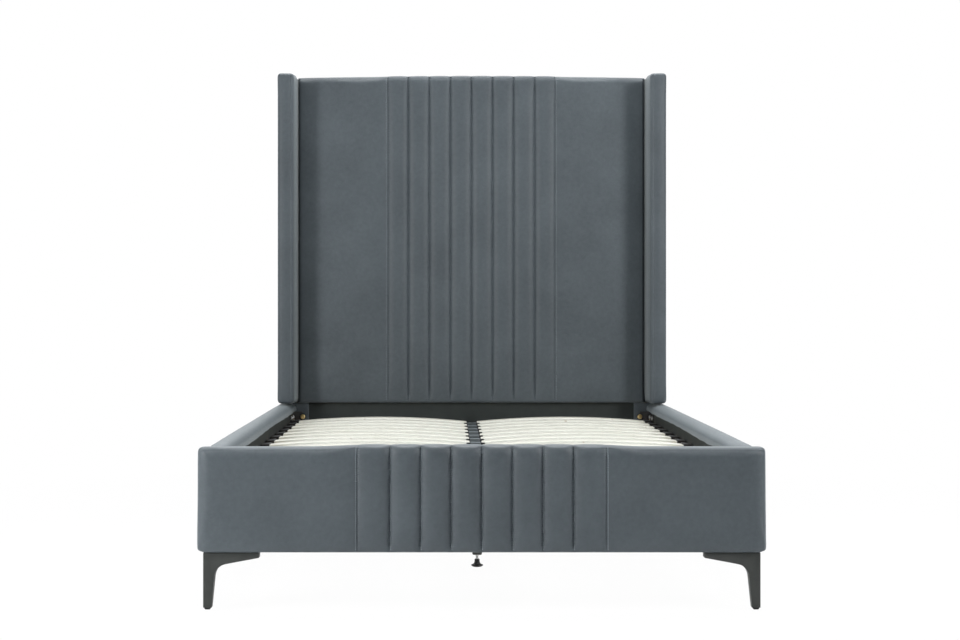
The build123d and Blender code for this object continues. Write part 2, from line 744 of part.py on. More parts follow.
# Wood screws: through the ledges into the rails' studs, and through the hangers
with BuildPart() as wood_screws:
    for place in ledge_screw_places:
        screw(facing(ledge_face_x, place, ledge_screw_z, to_centre), ledge_screw_length)
    for board_y, along in ((foot_back_y, 1), (low_rail_front_y, -1)):
        screw(facing(hanger_screw_x, board_y + along * hanger_thickness, hanger_screw_z,
                     (0, along, 0)), hanger_screw_length)
    mirror(about=Plane.YZ)
save(wood_screws, "wood_screws")

# Slat rows: two bowed slats each, from the rails' holders to the centre beam
slat_middle_x = (slat_inner_x + slat_outer_x) / 2


def slat_outline():
    """Side view of a right-hand slat, bowed upwards."""
    with BuildLine() as bow:
        ThreePointArc((slat_inner_x, slat_seat_z), (slat_middle_x, slat_seat_z + slat_bow),
                      (slat_outer_x, slat_seat_z))
        Line((slat_outer_x, slat_seat_z), (slat_outer_x, slat_seat_z + slat_thickness))
        ThreePointArc((slat_outer_x, slat_seat_z + slat_thickness),
                      (slat_middle_x, slat_seat_z + slat_bow + slat_thickness),
                      (slat_inner_x, slat_seat_z + slat_thickness))
        Line((slat_inner_x, slat_seat_z + slat_thickness), (slat_inner_x, slat_seat_z))
    make_face(bow.edges())


for row, place in enumerate(slat_places, start=1):
    with BuildPart() as slat_row:
        with BuildSketch(Plane.XZ.offset(-place)):
            slat_outline()
        extrude(amount=slat_width / 2, both=True)
        fillet(slat_row.edges().filter_by(Axis.Z).group_by(Axis.X)[0], slat_end_round)
        mirror(about=Plane.YZ)
    save(slat_row, f"slat_row_{row:02d}")

# Side holders: a cap round the outer end of each slat, on the ledge
holder_outer_x = slat_outer_x + holder_back_wall
holder_inner_x = holder_outer_x - holder_length
holder_top_z = slat_seat_z + slat_thickness + holder_roof
with BuildPart() as side_slat_holders:
    for place in slat_places:
        with BuildSketch(Plane.XZ.offset(-place)):
            with BuildLine():
                Polyline((holder_inner_x, ledge_top_z), (holder_outer_x, ledge_top_z),
                         (holder_outer_x, holder_top_z - holder_nose),
                         (holder_outer_x - holder_nose, holder_top_z),
                         (holder_inner_x, holder_top_z + holder_roof / 2), close=True)
            make_face()
        extrude(amount=slat_width / 2 + holder_wall, both=True)
        with BuildSketch(Plane.XZ.offset(-place)):
            slat_outline()
        extrude(amount=slat_width / 2, both=True, mode=Mode.SUBTRACT)
    mirror(about=Plane.YZ)
save(side_slat_holders, "side_slat_holders")

# Centre saddles: a plate across the beam with cheeks beside the slats and a lug between them
with BuildPart() as centre_slat_holders:
    for place in slat_places:
        cheek_y = slat_width / 2 + holder_wall
        block((-saddle_length / 2, place - cheek_y, ledge_top_z),
              (saddle_length / 2, place + cheek_y, slat_seat_z))
        block((-saddle_length / 2, place - cheek_y, slat_seat_z),
              (saddle_length / 2, place - slat_width / 2, slat_seat_z + saddle_cheek_height))
        block((-saddle_length / 2, place + slat_width / 2, slat_seat_z),
              (saddle_length / 2, place + cheek_y, slat_seat_z + saddle_cheek_height))
        block((-saddle_lug_length / 2, place - slat_width / 2, slat_seat_z),
              (saddle_lug_length / 2, place + slat_width / 2, slat_seat_z + saddle_cheek_height))
save(centre_slat_holders, "centre_slat_holders")

# Centre legs under the beam, each with a threaded insert and a levelling glide
rod_bottom_z = glide_height - rod_depth_in_base
bore_top_z = rod_bottom_z + rod_length + glide_up_travel + leg_bore_spare
for name, place in zip(("front", "rear"), centre_leg_places):
    with BuildPart() as centre_leg:
        with BuildSketch(Plane.XY.offset(centre_leg_bottom_z)):
            with Locations((0, place)):
                Rectangle(centre_leg_width, centre_leg_width)
        extrude(amount=beam_bottom_z - centre_leg_bottom_z)
        chamfer(centre_leg.edges().group_by(Axis.Z)[0], centre_leg_chamfer)
        foot = facing(0, place, centre_leg_bottom_z, downward)
        rod(foot, nut_radius, bore_top_z - centre_leg_bottom_z, Mode.SUBTRACT)
        rod(foot, nut_flange_radius, nut_flange_thickness, Mode.SUBTRACT)
    save(centre_leg, "centre_leg_" + name)

    with BuildPart() as glide_rod:
        rod(facing(0, place, rod_bottom_z, downward), rod_radius, rod_length)
        chamfer(glide_rod.edges().group_by(Axis.Z)[-1], rod_end_chamfer)
    save(glide_rod, "glide_rod_" + name)

    with BuildPart() as glide_base:
        turned(0, place, ((0, glide_sole_radius), (glide_rim_start, glide_base_radius),
                          (glide_rim_height, glide_base_radius),
                          (glide_waist_height, glide_waist_radius),
                          (glide_neck_start, glide_neck_radius), (glide_height, glide_neck_radius)))
        rod(facing(0, place, rod_bottom_z, downward), rod_radius, rod_depth_in_base, Mode.SUBTRACT)
    save(glide_base, "glide_base_" + name)

# Threaded inserts in the centre legs, which the rods run in, each with a collar below the leg
nut_bottom_z = centre_leg_bottom_z - nut_collar_height
with BuildPart() as glide_nuts:
    for place in centre_leg_places:
        foot = facing(0, place, centre_leg_bottom_z, downward)
        rod(foot, nut_flange_radius, nut_flange_thickness)
        rod(foot, nut_radius, nut_length)
        collar_foot = facing(0, place, nut_bottom_z, downward)
        rod(collar_foot, nut_collar_radius, nut_collar_height)
        rod(collar_foot, rod_radius + thread_clearance, nut_collar_height + nut_length, Mode.SUBTRACT)
save(glide_nuts, "glide_nuts")

# Front corner leg: one profile seen along each arm, the two met at the corner
leg_top_z = rail_bottom_z - leg_seat_height
leg_screw_z = rail_bottom_z - leg_screw_start


def leg_profile(direction):
    """Side view of the leg and one arm, with the arm pointing along a direction."""
    with BuildLine() as outline:
        Polyline((0, leg_foot_height), (0, leg_top_z), (direction * leg_arm_length, leg_top_z),
                 (direction * leg_arm_length, leg_top_z - leg_arm_end_height),
                 (direction * leg_knee_reach, leg_top_z - leg_knee_drop),
                 (direction * leg_toe_width, leg_foot_height), close=True)
    profile = make_face(outline.edges())
    knee = profile.vertices().sort_by_distance((direction * leg_knee_reach, leg_top_z - leg_knee_drop))
    fillet(knee[0], leg_knee_round)


def leg_plan(z, inset):
    """Plan of the corner leg's two arms, drawn in from the outline by an inset."""
    near = leg_arm_width
    far = leg_arm_length
    with BuildSketch(Plane(origin=(leg_outer_x, leg_front_y, z))) as plan:
        with BuildLine():
            Polyline((0, 0), (-far, 0), (-far, near), (-near, near), (-near, far), (0, far), close=True)
        make_face()
        crotch = plan.vertices().sort_by_distance((-near, near))[0]
        fillet(plan.vertices().sort_by_distance((-near, near))[1:], leg_corner_round)
        fillet(plan.vertices().sort_by_distance(crotch)[0], leg_crotch_round)
        if inset:
            offset(amount=-inset)
    return plan.sketch


with BuildPart() as front_leg:
    with BuildSketch(Plane(origin=(leg_outer_x, leg_front_y, 0), x_dir=(1, 0, 0), z_dir=(0, -1, 0))):
        leg_profile(-1)
    extrude(amount=-leg_arm_length)
    with BuildSketch(Plane(origin=(leg_outer_x, leg_front_y, 0), x_dir=(0, 1, 0), z_dir=(1, 0, 0))):
        leg_profile(1)
    extrude(amount=-leg_arm_length, mode=Mode.INTERSECT)
    extrude(leg_plan(leg_foot_height, 0), amount=leg_top_z - leg_foot_height, mode=Mode.INTERSECT)
    extrude(leg_plan(leg_top_z, leg_seat_inset), amount=leg_seat_height)
    for x, y in leg_screw_spots:
        shank(facing(x, y, rail_bottom_z, upward), leg_screw_radius, leg_screw_start, Mode.SUBTRACT)
        rod(facing(x, y, leg_screw_z, upward), leg_screw_head_radius + leg_screw_head_clearance,
            leg_knee_drop, Mode.SUBTRACT)
save_pair(front_leg, "front_leg")

# Screws up through the corner legs' arms, into the footboard and the rails
with BuildPart() as leg_screws:
    for x, y in leg_screw_spots:
        rod(facing(x, y, leg_screw_z, upward), leg_screw_head_radius, leg_screw_head_height)
        shank(facing(x, y, leg_screw_z, downward), leg_screw_radius, leg_screw_length)
    mirror(about=Plane.YZ)
save(leg_screws, "leg_screws")

# Plastic feet pressed under the corner legs
with BuildPart() as front_leg_feet:
    for side in (1, -1):
        with BuildSketch(Plane.XY):
            with Locations((side * (leg_outer_x - leg_toe_width / 2), leg_front_y + leg_toe_width / 2)):
                Rectangle(leg_foot_width, leg_foot_width)
        extrude(amount=leg_foot_height)
    chamfer(front_leg_feet.edges().group_by(Axis.Z)[0], leg_foot_chamfer)
save(front_leg_feet, "front_leg_feet")
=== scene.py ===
import bpy
import bmesh
import json
import math
import numpy as np
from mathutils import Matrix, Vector


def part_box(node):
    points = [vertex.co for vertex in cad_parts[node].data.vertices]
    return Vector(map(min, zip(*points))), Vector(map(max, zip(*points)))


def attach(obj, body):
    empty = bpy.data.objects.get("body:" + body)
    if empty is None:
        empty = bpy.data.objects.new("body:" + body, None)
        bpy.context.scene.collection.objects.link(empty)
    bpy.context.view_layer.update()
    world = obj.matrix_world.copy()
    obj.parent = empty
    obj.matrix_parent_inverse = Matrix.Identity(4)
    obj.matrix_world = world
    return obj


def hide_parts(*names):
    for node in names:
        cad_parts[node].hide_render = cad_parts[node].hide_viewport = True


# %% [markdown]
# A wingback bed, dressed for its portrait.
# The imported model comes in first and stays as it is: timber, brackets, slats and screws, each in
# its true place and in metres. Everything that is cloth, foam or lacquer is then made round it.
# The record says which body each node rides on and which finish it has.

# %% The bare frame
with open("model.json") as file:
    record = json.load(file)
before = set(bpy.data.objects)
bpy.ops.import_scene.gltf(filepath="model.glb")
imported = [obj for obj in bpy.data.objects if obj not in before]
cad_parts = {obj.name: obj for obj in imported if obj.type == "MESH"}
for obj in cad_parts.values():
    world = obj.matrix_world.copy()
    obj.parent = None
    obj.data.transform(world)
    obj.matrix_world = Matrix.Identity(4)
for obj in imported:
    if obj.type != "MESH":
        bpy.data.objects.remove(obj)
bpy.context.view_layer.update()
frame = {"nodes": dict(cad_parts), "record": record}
scene = bpy.context.scene
slot_of = {part["node"]: part["material_slot"] for part in frame["record"]["subparts"]}
body_of = {node: body for body, nodes in frame["record"]["behaviour"]["bodies"].items()
           for node in nodes}

# %% [markdown]
# Camera. The sides of the bed all run to one point, level with the upper third of the slats, so
# the camera looks straight along the bed and was only shifted, never tilted. A tilted camera
# would need converging legs and wings. Shifting the lens keeps every upright edge upright.

# %% The camera
camera_place = (-0.090, -5.405, 0.827)
camera = bpy.data.objects.new("camera", bpy.data.cameras.new("camera"))
scene.collection.objects.link(camera)
camera.location = camera_place
camera.rotation_euler = (math.radians(90), 0, 0)
camera.data.lens = 61
camera.data.sensor_width = 36
camera.data.shift_x = 0.0329
camera.data.shift_y = -0.0177
camera.data.clip_end = 60
scene.camera = camera
scene.view_settings.view_transform = "Standard"
print("camera", camera_place, "lens", camera.data.lens)

# %% [markdown]
# Light. The bed stands in a white studio between two softboxes. The left one stands ahead of the
# bed and lights one side of every flute. The right one stands beside the bed, so it reaches the
# headboard more than the footboard. Each wing's soft shadow on the board beside it, seven to nine
# centimetres wide, sets their angles. A large box above whitens the slats, and a strip with a
# grid, which lights little else, brightens the footboard's upper edge.

# %% Softboxes
def softbox(name, place, aim, width, height, power, beam=180):
    """A large soft lamp that faces the point it is aimed at. A grid on it narrows its beam."""
    lamp = bpy.data.objects.new(name, bpy.data.lights.new(name, "AREA"))
    scene.collection.objects.link(lamp)
    lamp.data.shape = "RECTANGLE"
    lamp.data.size = width
    lamp.data.size_y = height
    lamp.data.energy = power
    lamp.data.spread = math.radians(beam)
    lamp.location = place
    direction = [b - a for a, b in zip(place, aim)]
    lamp.rotation_euler = Vector(direction).to_track_quat("-Z", "Y").to_euler()


softbox("softbox_left", (-2.45, -2.1, 1.4), (0, 0, 0.6), 0.6, 1.3, 60)
softbox("softbox_right", (2.1, -1.5, 1.8), (0.25, 0.95, 1.0), 0.55, 1.2, 47)
softbox("softbox_over", (0, 0.55, 3.4), (0, 0, 0.4), 2.2, 1.6, 88)
softbox("softbox_foot", (-0.1, -1.75, 2.4), (-0.1, -1.40, 0.2), 1.8, 0.4, 5, 80)

# %% [markdown]
# Nodes. A finish is a small net of nodes: noise in place of dirt and wear, ramps that turn it into
# colours, and bumps that turn it into relief. These helpers put one node each into the net, so
# that a finish further down reads like its recipe.

# %% Nodes for finishes
def feed(tree, socket, value):
    """Links another socket to this one, or sets its number or colour."""
    if isinstance(value, bpy.types.NodeSocket):
        tree.links.new(value, socket)
    else:
        socket.default_value = value


def add(tree, kind, inputs=None, **settings):
    """A node with its settings and inputs."""
    made = tree.nodes.new(kind)
    for key, value in settings.items():
        setattr(made, key, value)
    for key, value in (inputs or {}).items():
        feed(tree, made.inputs[key], value)
    return made


def finish(name, **sockets):
    """A new finish. What is the same all over goes straight on the shader's own sockets."""
    material = bpy.data.materials.new(name)
    material.use_nodes = True
    shader = material.node_tree.nodes["Principled BSDF"]
    for key, value in sockets.items():
        shader.inputs[key.replace("_", " ")].default_value = value
    return material, material.node_tree, shader


def patterned(tree, shader, colour, roughness, relief):
    """Links a finish's colour, roughness and relief to its shader."""
    for key, value in (("Base Color", colour), ("Roughness", roughness), ("Normal", relief)):
        tree.links.new(value, shader.inputs[key])


def place_of(tree, stretch=(1, 1, 1)):
    """Object coordinates, stretched along an axis for grain."""
    origin = add(tree, "ShaderNodeTexCoord").outputs["Object"]
    return add(tree, "ShaderNodeMapping", {"Vector": origin, "Scale": stretch}).outputs["Vector"]


def noise(tree, where, scale, detail=3, rough=0.5):
    """A noise pattern. Scale is in patches to the metre."""
    return add(tree, "ShaderNodeTexNoise", {"Vector": where, "Scale": scale, "Detail": detail,
                                            "Roughness": rough}).outputs["Fac"]


def ramp(tree, fac, stops):
    """Colours along a pattern, as pairs of place and colour."""
    made = add(tree, "ShaderNodeValToRGB", {"Fac": fac})
    for element, (at, colour) in zip(made.color_ramp.elements, stops):
        element.position = at
        element.color = (*colour, 1)
    return made.outputs["Color"]


def blend_colour(tree, fac, first, second, how="MIX"):
    """Mixes two colours."""
    return add(tree, "ShaderNodeMix", {0: fac, 6: first, 7: second}, data_type="RGBA",
               blend_type=how).outputs[2]


def tinted(tree, colour, tint):
    """A colour times another."""
    return blend_colour(tree, 1.0, colour, tint, "MULTIPLY")


def sums(tree, how, first, second=0.5, third=0.5):
    """One step of arithmetic on a pattern."""
    return add(tree, "ShaderNodeMath", {0: first, 1: second, 2: third}, operation=how).outputs["Value"]


def span(tree, value, low, high, to_low, to_high):
    """Turns one range of a pattern into another."""
    return add(tree, "ShaderNodeMapRange", {"Value": value, "From Min": low, "From Max": high,
                                            "To Min": to_low, "To Max": to_high}).outputs["Result"]


def bump(tree, height, depth, strength=1, under=None):
    """Relief from a pattern, on top of other relief. Depth is in metres."""
    inputs = {"Height": height, "Distance": depth, "Strength": strength}
    if under is not None:
        inputs["Normal"] = under
    return add(tree, "ShaderNodeBump", inputs).outputs["Normal"]


# %% [markdown]
# White surroundings. The wall behind the bed is lit white, which the world gives: strong from
# behind and next to nothing in front. The camera itself sees plain white.

# %% White surroundings
world = bpy.data.worlds.new("white studio")
scene.world = world
world.use_nodes = True
sky = world.node_tree
sky.nodes.clear()
facing = add(sky, "ShaderNodeTexCoord").outputs["Generated"]
towards_wall = add(sky, "ShaderNodeSeparateXYZ", {"Vector": facing}).outputs["Y"]
around = add(sky, "ShaderNodeBackground", {"Color": (0.96, 0.98, 1, 1),
                                           "Strength": span(sky, towards_wall, -0.25, 0.45, 0, 1.25)})
behind = add(sky, "ShaderNodeBackground", {"Color": (1, 1, 1, 1), "Strength": 1})
choice = add(sky, "ShaderNodeMixShader", {0: add(sky, "ShaderNodeLightPath").outputs["Is Camera Ray"],
                                          1: around.outputs["Background"],
                                          2: behind.outputs["Background"]})
add(sky, "ShaderNodeOutputWorld", {"Surface": choice.outputs["Shader"]})
print("world with", len(sky.nodes), "nodes")

# %% [markdown]
# Selecting and starting pieces. An operator acts on all that is selected, and the frame's nodes
# come in selected, so each step starts by letting go of everything. A piece then starts as a
# primitive of the right size in the right place. Its transform is applied at once, so its object
# stays at the origin and its place is in its mesh.

# %% Hands
def only(piece):
    """Lets go of everything else and takes hold of this piece."""
    bpy.ops.object.select_all(action="DESELECT")
    piece.select_set(True)
    bpy.context.view_layer.objects.active = piece


def leave():
    """Goes back to object mode."""
    bpy.ops.object.mode_set(mode="OBJECT")


def named(name):
    """Applies the new primitive's transform and gives it its name."""
    piece = bpy.context.active_object
    only(piece)
    bpy.ops.object.transform_apply(location=True, rotation=True, scale=True)
    piece.name = piece.data.name = name
    return piece


def disc(name, place, radius, sides):
    """A flat round face."""
    bpy.ops.object.select_all(action="DESELECT")
    bpy.ops.mesh.primitive_circle_add(vertices=sides, radius=radius, fill_type="NGON",
                                      location=place)
    return named(name)


def block(name, low, high):
    """A cube between two corners."""
    bpy.ops.object.select_all(action="DESELECT")
    bpy.ops.mesh.primitive_cube_add(size=1, location=[(a + b) / 2 for a, b in zip(low, high)])
    bpy.context.active_object.scale = [b - a for a, b in zip(low, high)]
    return named(name)


# %% [markdown]
# The floor is a plain pale sheet of studio paper. It throws light back up at the bed like any
# paper, but the camera sees it burnt out to white with only a breath of shadow under the bed,
# so it is clear to camera rays alone, and wholly clear further out, where a horizon would show.

# %% Studio floor
floor_radius = 28
shadow_share = 0.95
shadow_from, shadow_to = 1.1, 3.0
floor = disc("studio_floor", (0, 0, -0.0005), floor_radius, 96)
paper, tree, shader = finish("studio paper", Roughness=0.9, Base_Color=(0.88, 0.88, 0.88, 1))
where = place_of(tree)
away = add(tree, "ShaderNodeVectorMath", {0: where}, operation="LENGTH").outputs["Value"]
clear = add(tree, "ShaderNodeBsdfTransparent")
eye = add(tree, "ShaderNodeLightPath").outputs["Is Camera Ray"]
burnt = sums(tree, "MULTIPLY", eye, span(tree, away, shadow_from, shadow_to, shadow_share, 1))
lit = add(tree, "ShaderNodeMixShader", {0: burnt, 1: shader.outputs["BSDF"], 2: clear.outputs["BSDF"]})
tree.links.new(lit.outputs["Shader"], tree.nodes["Material Output"].inputs["Surface"])
tree.links.new(bump(tree, noise(tree, where, 60), 0.0006, 0.3), shader.inputs["Normal"])
floor.data.materials.append(paper)
print("floor", len(floor.data.polygons), "face")

# %% [markdown]
# Shaping. A block is cut into a net in edit mode. Faces and edges are chosen by their place and
# normal, and extruded or bevelled. Once the net is there, its points are moved as one array.

# %% Shaping
def enter(piece):
    """Goes into edit mode with everything selected."""
    only(piece)
    bpy.ops.object.mode_set(mode="EDIT")
    bpy.ops.mesh.select_all(action="SELECT")


def cut(piece, axis, places):
    """Bisects the piece across one axis at each place."""
    enter(piece)
    across = np.eye(3)[axis]
    for place in places:
        bpy.ops.mesh.bisect(plane_co=tuple(across * place), plane_no=tuple(across))
        bpy.ops.mesh.select_all(action="SELECT")
    leave()


def choose(piece, kind, test):
    """Selects the faces or edges whose middle and normal, or direction, pass the test."""
    enter(piece)
    bpy.ops.mesh.select_mode(type=kind)
    bpy.ops.mesh.select_all(action="DESELECT")
    mesh = bmesh.from_edit_mesh(piece.data)
    mesh.normal_update()
    for item in mesh.faces if kind == "FACE" else mesh.edges:
        middle = sum((v.co for v in item.verts), item.verts[0].co * 0) / len(item.verts)
        ahead = item.normal if kind == "FACE" else item.verts[1].co - item.verts[0].co
        if test(middle, ahead.normalized()):
            item.select_set(True)
    bmesh.update_edit_mesh(piece.data)


def pull(x, y, z):
    """Extrudes what is selected and moves it."""
    bpy.ops.mesh.extrude_region_move(TRANSFORM_OT_translate={"value": (x, y, z)})


def extrude(piece, test, *moves):
    """Extrudes the faces that pass the test, once for each move."""
    choose(piece, "FACE", test)
    for move in moves:
        pull(*move)
    leave()


def round_off(piece, test, width, segments):
    """Bevels the edges that pass the test."""
    choose(piece, "EDGE", test)
    bpy.ops.mesh.bevel(offset=width, segments=segments, affect="EDGES")
    leave()


def points(piece):
    """The piece's points as an array."""
    at = np.empty(len(piece.data.vertices) * 3, np.float64)
    piece.data.vertices.foreach_get("co", at)
    return at.reshape(-1, 3)


def place_points(piece, at):
    """Writes an array back to the piece's points."""
    piece.data.vertices.foreach_set("co", np.asarray(at, np.float32).ravel())
    piece.data.update()


def mark(piece, name, values):
    """Writes one value to each point, for a finish to read."""
    layer = piece.data.attributes.new(name, "FLOAT", "POINT")
    layer.data.foreach_set("value", np.asarray(values, np.float32))


def spread(first, last, step):
    """Evenly spaced places between two ends, without the ends."""
    count = max(1, round((last - first) / step))
    return list(np.linspace(first, last, count + 1)[1:-1])


# %% [markdown]
# Finishing off. Modifiers are applied, and the piece is shaded smooth except over its sharp edges.
# It is then handed over: it gets its finish, rides on its node's body and stands in its place.

# %% Handing over
def apply_all(piece):
    """Applies every modifier, top to bottom."""
    only(piece)
    for modifier in list(piece.modifiers):
        bpy.ops.object.modifier_apply(modifier=modifier.name)


def smooth(piece, degrees):
    """Shades the piece smooth except across edges sharper than an angle."""
    only(piece)
    bpy.ops.object.shade_smooth_by_angle(angle=math.radians(degrees))


def hand_over(piece, node, material, degrees):
    """Shades a finished piece and puts it in its node's place."""
    smooth(piece, degrees)
    if material:
        piece.data.materials.append(material)
    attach(piece, body_of[node])
    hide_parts(node)
    print(piece.name, len(piece.data.polygons), "faces")


# %% [markdown]
# Velvet. Its short pile stands up, so it is dark where you look into it and pale where you look
# along it. The shader's sheen does that. Where hands have brushed it the pile lies another way,
# which shows as soft patches, so both the colour and the relief get noise at three scales: a
# hand's breadth, a finger's breadth and the pile itself. Near a seam, a value on the mesh named
# gather draws fine puckers, one to each stitch. Deep between a wing and the headboard, where shade
# falls, the colour is painted darker: a second value on the mesh fades the velvet over to a
# near-black painted shade.

# %% Velvet
def velvet(name, deep, light, painted_shade):
    """Short-pile velvet between two shades, and a third, near black, painted in as shade."""
    material, tree, shader = finish(name, Sheen_Weight=0.25, Sheen_Roughness=0.4,
                                    Sheen_Tint=(0.90, 0.98, 1.0, 1), Specular_IOR_Level=0.35)
    where = place_of(tree)
    brushed = noise(tree, where, 5, 3, 0.55)
    mottled = noise(tree, where, 70, 5, 0.65)
    pile = noise(tree, where, 1400, 2, 0.5)
    shade = sums(tree, "MULTIPLY_ADD", mottled, 0.45, sums(tree, "MULTIPLY", brushed, 0.55))
    colour = ramp(tree, shade, [(0.34, deep), (0.66, light)])
    hue = ramp(tree, noise(tree, where, 160, 4, 0.7), [(0.35, (0.93, 1.0, 0.97)),
                                                      (0.65, (1.0, 0.985, 1.03))])
    colour = tinted(tree, colour, hue)
    dotted = ramp(tree, pile, [(0.3, (0.88, 0.88, 0.88)), (0.7, (1.1, 1.1, 1.1))])
    colour = tinted(tree, colour, dotted)
    # Painted shade: a value on the mesh fades the colour over to the near-black third colour.
    painted_shade_share = add(tree, "ShaderNodeAttribute", attribute_name="painted_shade").outputs["Fac"]
    colour = blend_colour(tree, painted_shade_share, colour, (*painted_shade, 1))
    relief = bump(tree, brushed, 0.004, 0.25)
    relief = bump(tree, mottled, 0.0009, 0.35, relief)
    gathered = add(tree, "ShaderNodeAttribute", attribute_name="gather").outputs["Fac"]
    pucker = add(tree, "ShaderNodeTexWave", {"Vector": where, "Scale": 50, "Distortion": 1.5,
                                             "Detail": 1}, bands_direction="Z").outputs["Fac"]
    relief = bump(tree, sums(tree, "MULTIPLY", pucker, gathered), 0.0014, 0.6, relief)
    relief = bump(tree, pile, 0.0003, 0.5, relief)
    patterned(tree, shader, colour, span(tree, mottled, 0.3, 0.7, 0.46, 0.56), relief)
    return material


# The third colour is painted shade, for deep between a wing and the headboard.
slate_velvet = velvet("slate blue velvet", (0.058, 0.069, 0.078), (0.083, 0.098, 0.110),
                      (0.011, 0.013, 0.015))
print("velvet with", len(slate_velvet.node_tree.nodes), "nodes")

# %% [markdown]
# Padding. A padded board is foam on timber under velvet that is stitched down in lines. The way
# here is that of the upholsterer: the block is cut into a net that has a line of points on every
# seam, the seams are held fast, and Blender's cloth is blown up a little from inside, so the
# cover swells between its seams. A cap keeps it as tight as the real cover. Rounding the block's
# edges first gives the cloth a foam shape to lie on.

# %% Foam shapes
def foam_round(at, low, high, rounds):
    """Pulls points near a block's edges onto rounds. Each round names its two axes and holds four
    lengths, low and high along the first axis and then along the second; nought stays sharp."""
    at = at.copy()
    for axes, reach in rounds:
        axes = list(axes)
        floor_at, top_at = np.array(low, float)[axes], np.array(high, float)[axes]
        below, above = np.array(reach[0::2], float), np.array(reach[1::2], float)
        core = np.clip(at[:, axes], floor_at + below, top_at - above)
        past = at[:, axes] - core
        size = np.where(past < 0, below, above)
        share = np.divide(past, size, out=np.zeros_like(past), where=size > 0)
        length = np.linalg.norm(share, axis=1, keepdims=True)
        largest = np.abs(share).max(axis=1, keepdims=True)
        fold = np.divide(largest, length, out=np.ones_like(length), where=length > 0)
        at[:, axes] = core + past * fold
    return at


def swell(piece, held, pressure, cap):
    """Blows the cover up between its held points, and moves no point by more than the cap."""
    before = points(piece)
    group = piece.vertex_groups.new(name="held")
    group.add([int(i) for i in np.flatnonzero(held)], 1.0, "REPLACE")
    cloth = piece.modifiers.new("cover", "CLOTH")
    for setting, value in {"quality": 5, "mass": 0.25, "tension_stiffness": 30,
                           "compression_stiffness": 30, "shear_stiffness": 15,
                           "bending_stiffness": 0.6, "air_damping": 4, "use_pressure": True,
                           "uniform_pressure_force": pressure, "vertex_group_mass": "held"}.items():
        setattr(cloth.settings, setting, value)
    cloth.settings.effector_weights.gravity = 0
    cloth.collision_settings.use_collision = False
    for number in range(1, 21):
        scene.frame_set(number)
    apply_all(piece)
    scene.frame_set(1)
    moved = points(piece) - before
    far = np.linalg.norm(moved, axis=1, keepdims=True)
    kept = cap * np.tanh(far / cap) / np.maximum(far, 1e-9)
    place_points(piece, before + moved * kept)
    piece.vertex_groups.clear()
    print(piece.name, "swelled by up to", round(float((far * kept).max()) * 1000, 1), "mm")


def soften(piece):
    """Subdivides the finished cover."""
    modifier = piece.modifiers.new("softened", "SUBSURF")
    modifier.levels = modifier.render_levels = 1
    apply_all(piece)

# %% [markdown]
# The fluted boards. Headboard and footboard share one pattern: eight upright flutes in the
# middle, a seam at each side of each flute, and a plain panel beside them. A flute could be a
# row of half cylinders, but sewn foam is flatter on its crest and steep beside the seam, so its
# section is a superellipse, cut with more lines near the seam than on the crest.

# %% Seams and the flutes' section
flute_pitch = 0.0825
inner_seams = [(number - 3) * flute_pitch for number in range(7)]
on_line = 0.0005
panel_dip = 0.0015
outer_cleft = 0.0028
rim_shares = (1, 0.72, 0.45, 0.22, 0.07)


def from_seam(x, seams):
    """How far each x is from the nearest seam."""
    return np.min(np.abs(x[:, None] - np.array(seams)), axis=1)


def arch(x, seams, power=2.8):
    """Height of the flutes' section at each x, from nought on a seam to one on a crest. A higher
    power makes a flatter crest."""
    rise = np.zeros_like(x)
    for first, last in zip(seams, seams[1:]):
        inside = (x >= first) & (x <= last)
        across = np.abs(2 * (x[inside] - first) / (last - first) - 1)
        rise[inside] = np.clip(1 - across ** power, 0, 1) ** 0.8
    return rise


def fluted(x, seams, seam, panel, power, cleft):
    """How far the cover lies behind the flutes' crest at each x. The outermost seams are shallow,
    because the panel beyond them is nearly as thick as the flutes. The thread draws a cleft."""
    beyond = np.abs(x) - seams[-1]
    plain = panel + panel_dip * np.exp(-np.clip(beyond, 0, None) / 0.006)
    outward = np.clip((np.abs(x) - seams[-2]) / (seams[-1] - seams[-2]), 0, 1) ** 2
    deep = seam + (panel + panel_dip - seam) * outward
    flutes = np.where(beyond > 0, plain, deep * (1 - arch(x, seams, power)))
    sewn = from_seam(x, seams[1:-1]) < on_line
    outermost = np.abs(beyond) < on_line
    return flutes + cleft * sewn + outer_cleft * outermost


def flute_cuts(seams, half_width, edge, step):
    """Cut lines: on each seam, close beside it, and evenly over flutes and panels."""
    lines = []
    for first, last in zip(seams, seams[1:]):
        lines += [first, first + 0.0018, first + 0.005, first + 0.010]
        lines += [last - 0.010, last - 0.005, last - 0.0018]
        lines += spread(first + 0.010, last - 0.010, 0.012)
    lines += [seams[-1]]
    for out in (0.0018, 0.006, 0.012):
        lines += [seams[0] - out, seams[-1] + out]
    outer = spread(seams[-1] + 0.012, half_width - edge, step)
    rim = [half_width - edge * share for share in rim_shares]
    lines += outer + rim + [-x for x in outer + rim]
    return sorted(lines)


def rim_cuts(low, high, edge_low, edge_high, step):
    """Cut lines along one side: closer together over the rounded edges."""
    lines = [low + edge_low * share for share in rim_shares]
    lines += [high - edge_high * share for share in rim_shares]
    return sorted(lines + spread(low + edge_low, high - edge_high, step))


print("inner seams at", [round(x, 4) for x in inner_seams])

# %% [markdown]
# The footboard's cover wraps its front, its ends, its top and a hand's breadth of its inner face.
# Its upright corners and its top edge are soft foam rounds. The flutes stand a little proud of
# the panels and of the panels' top edge, as the photograph shows. Its ends bulge out, and the
# lower edge of its front hangs down a little.

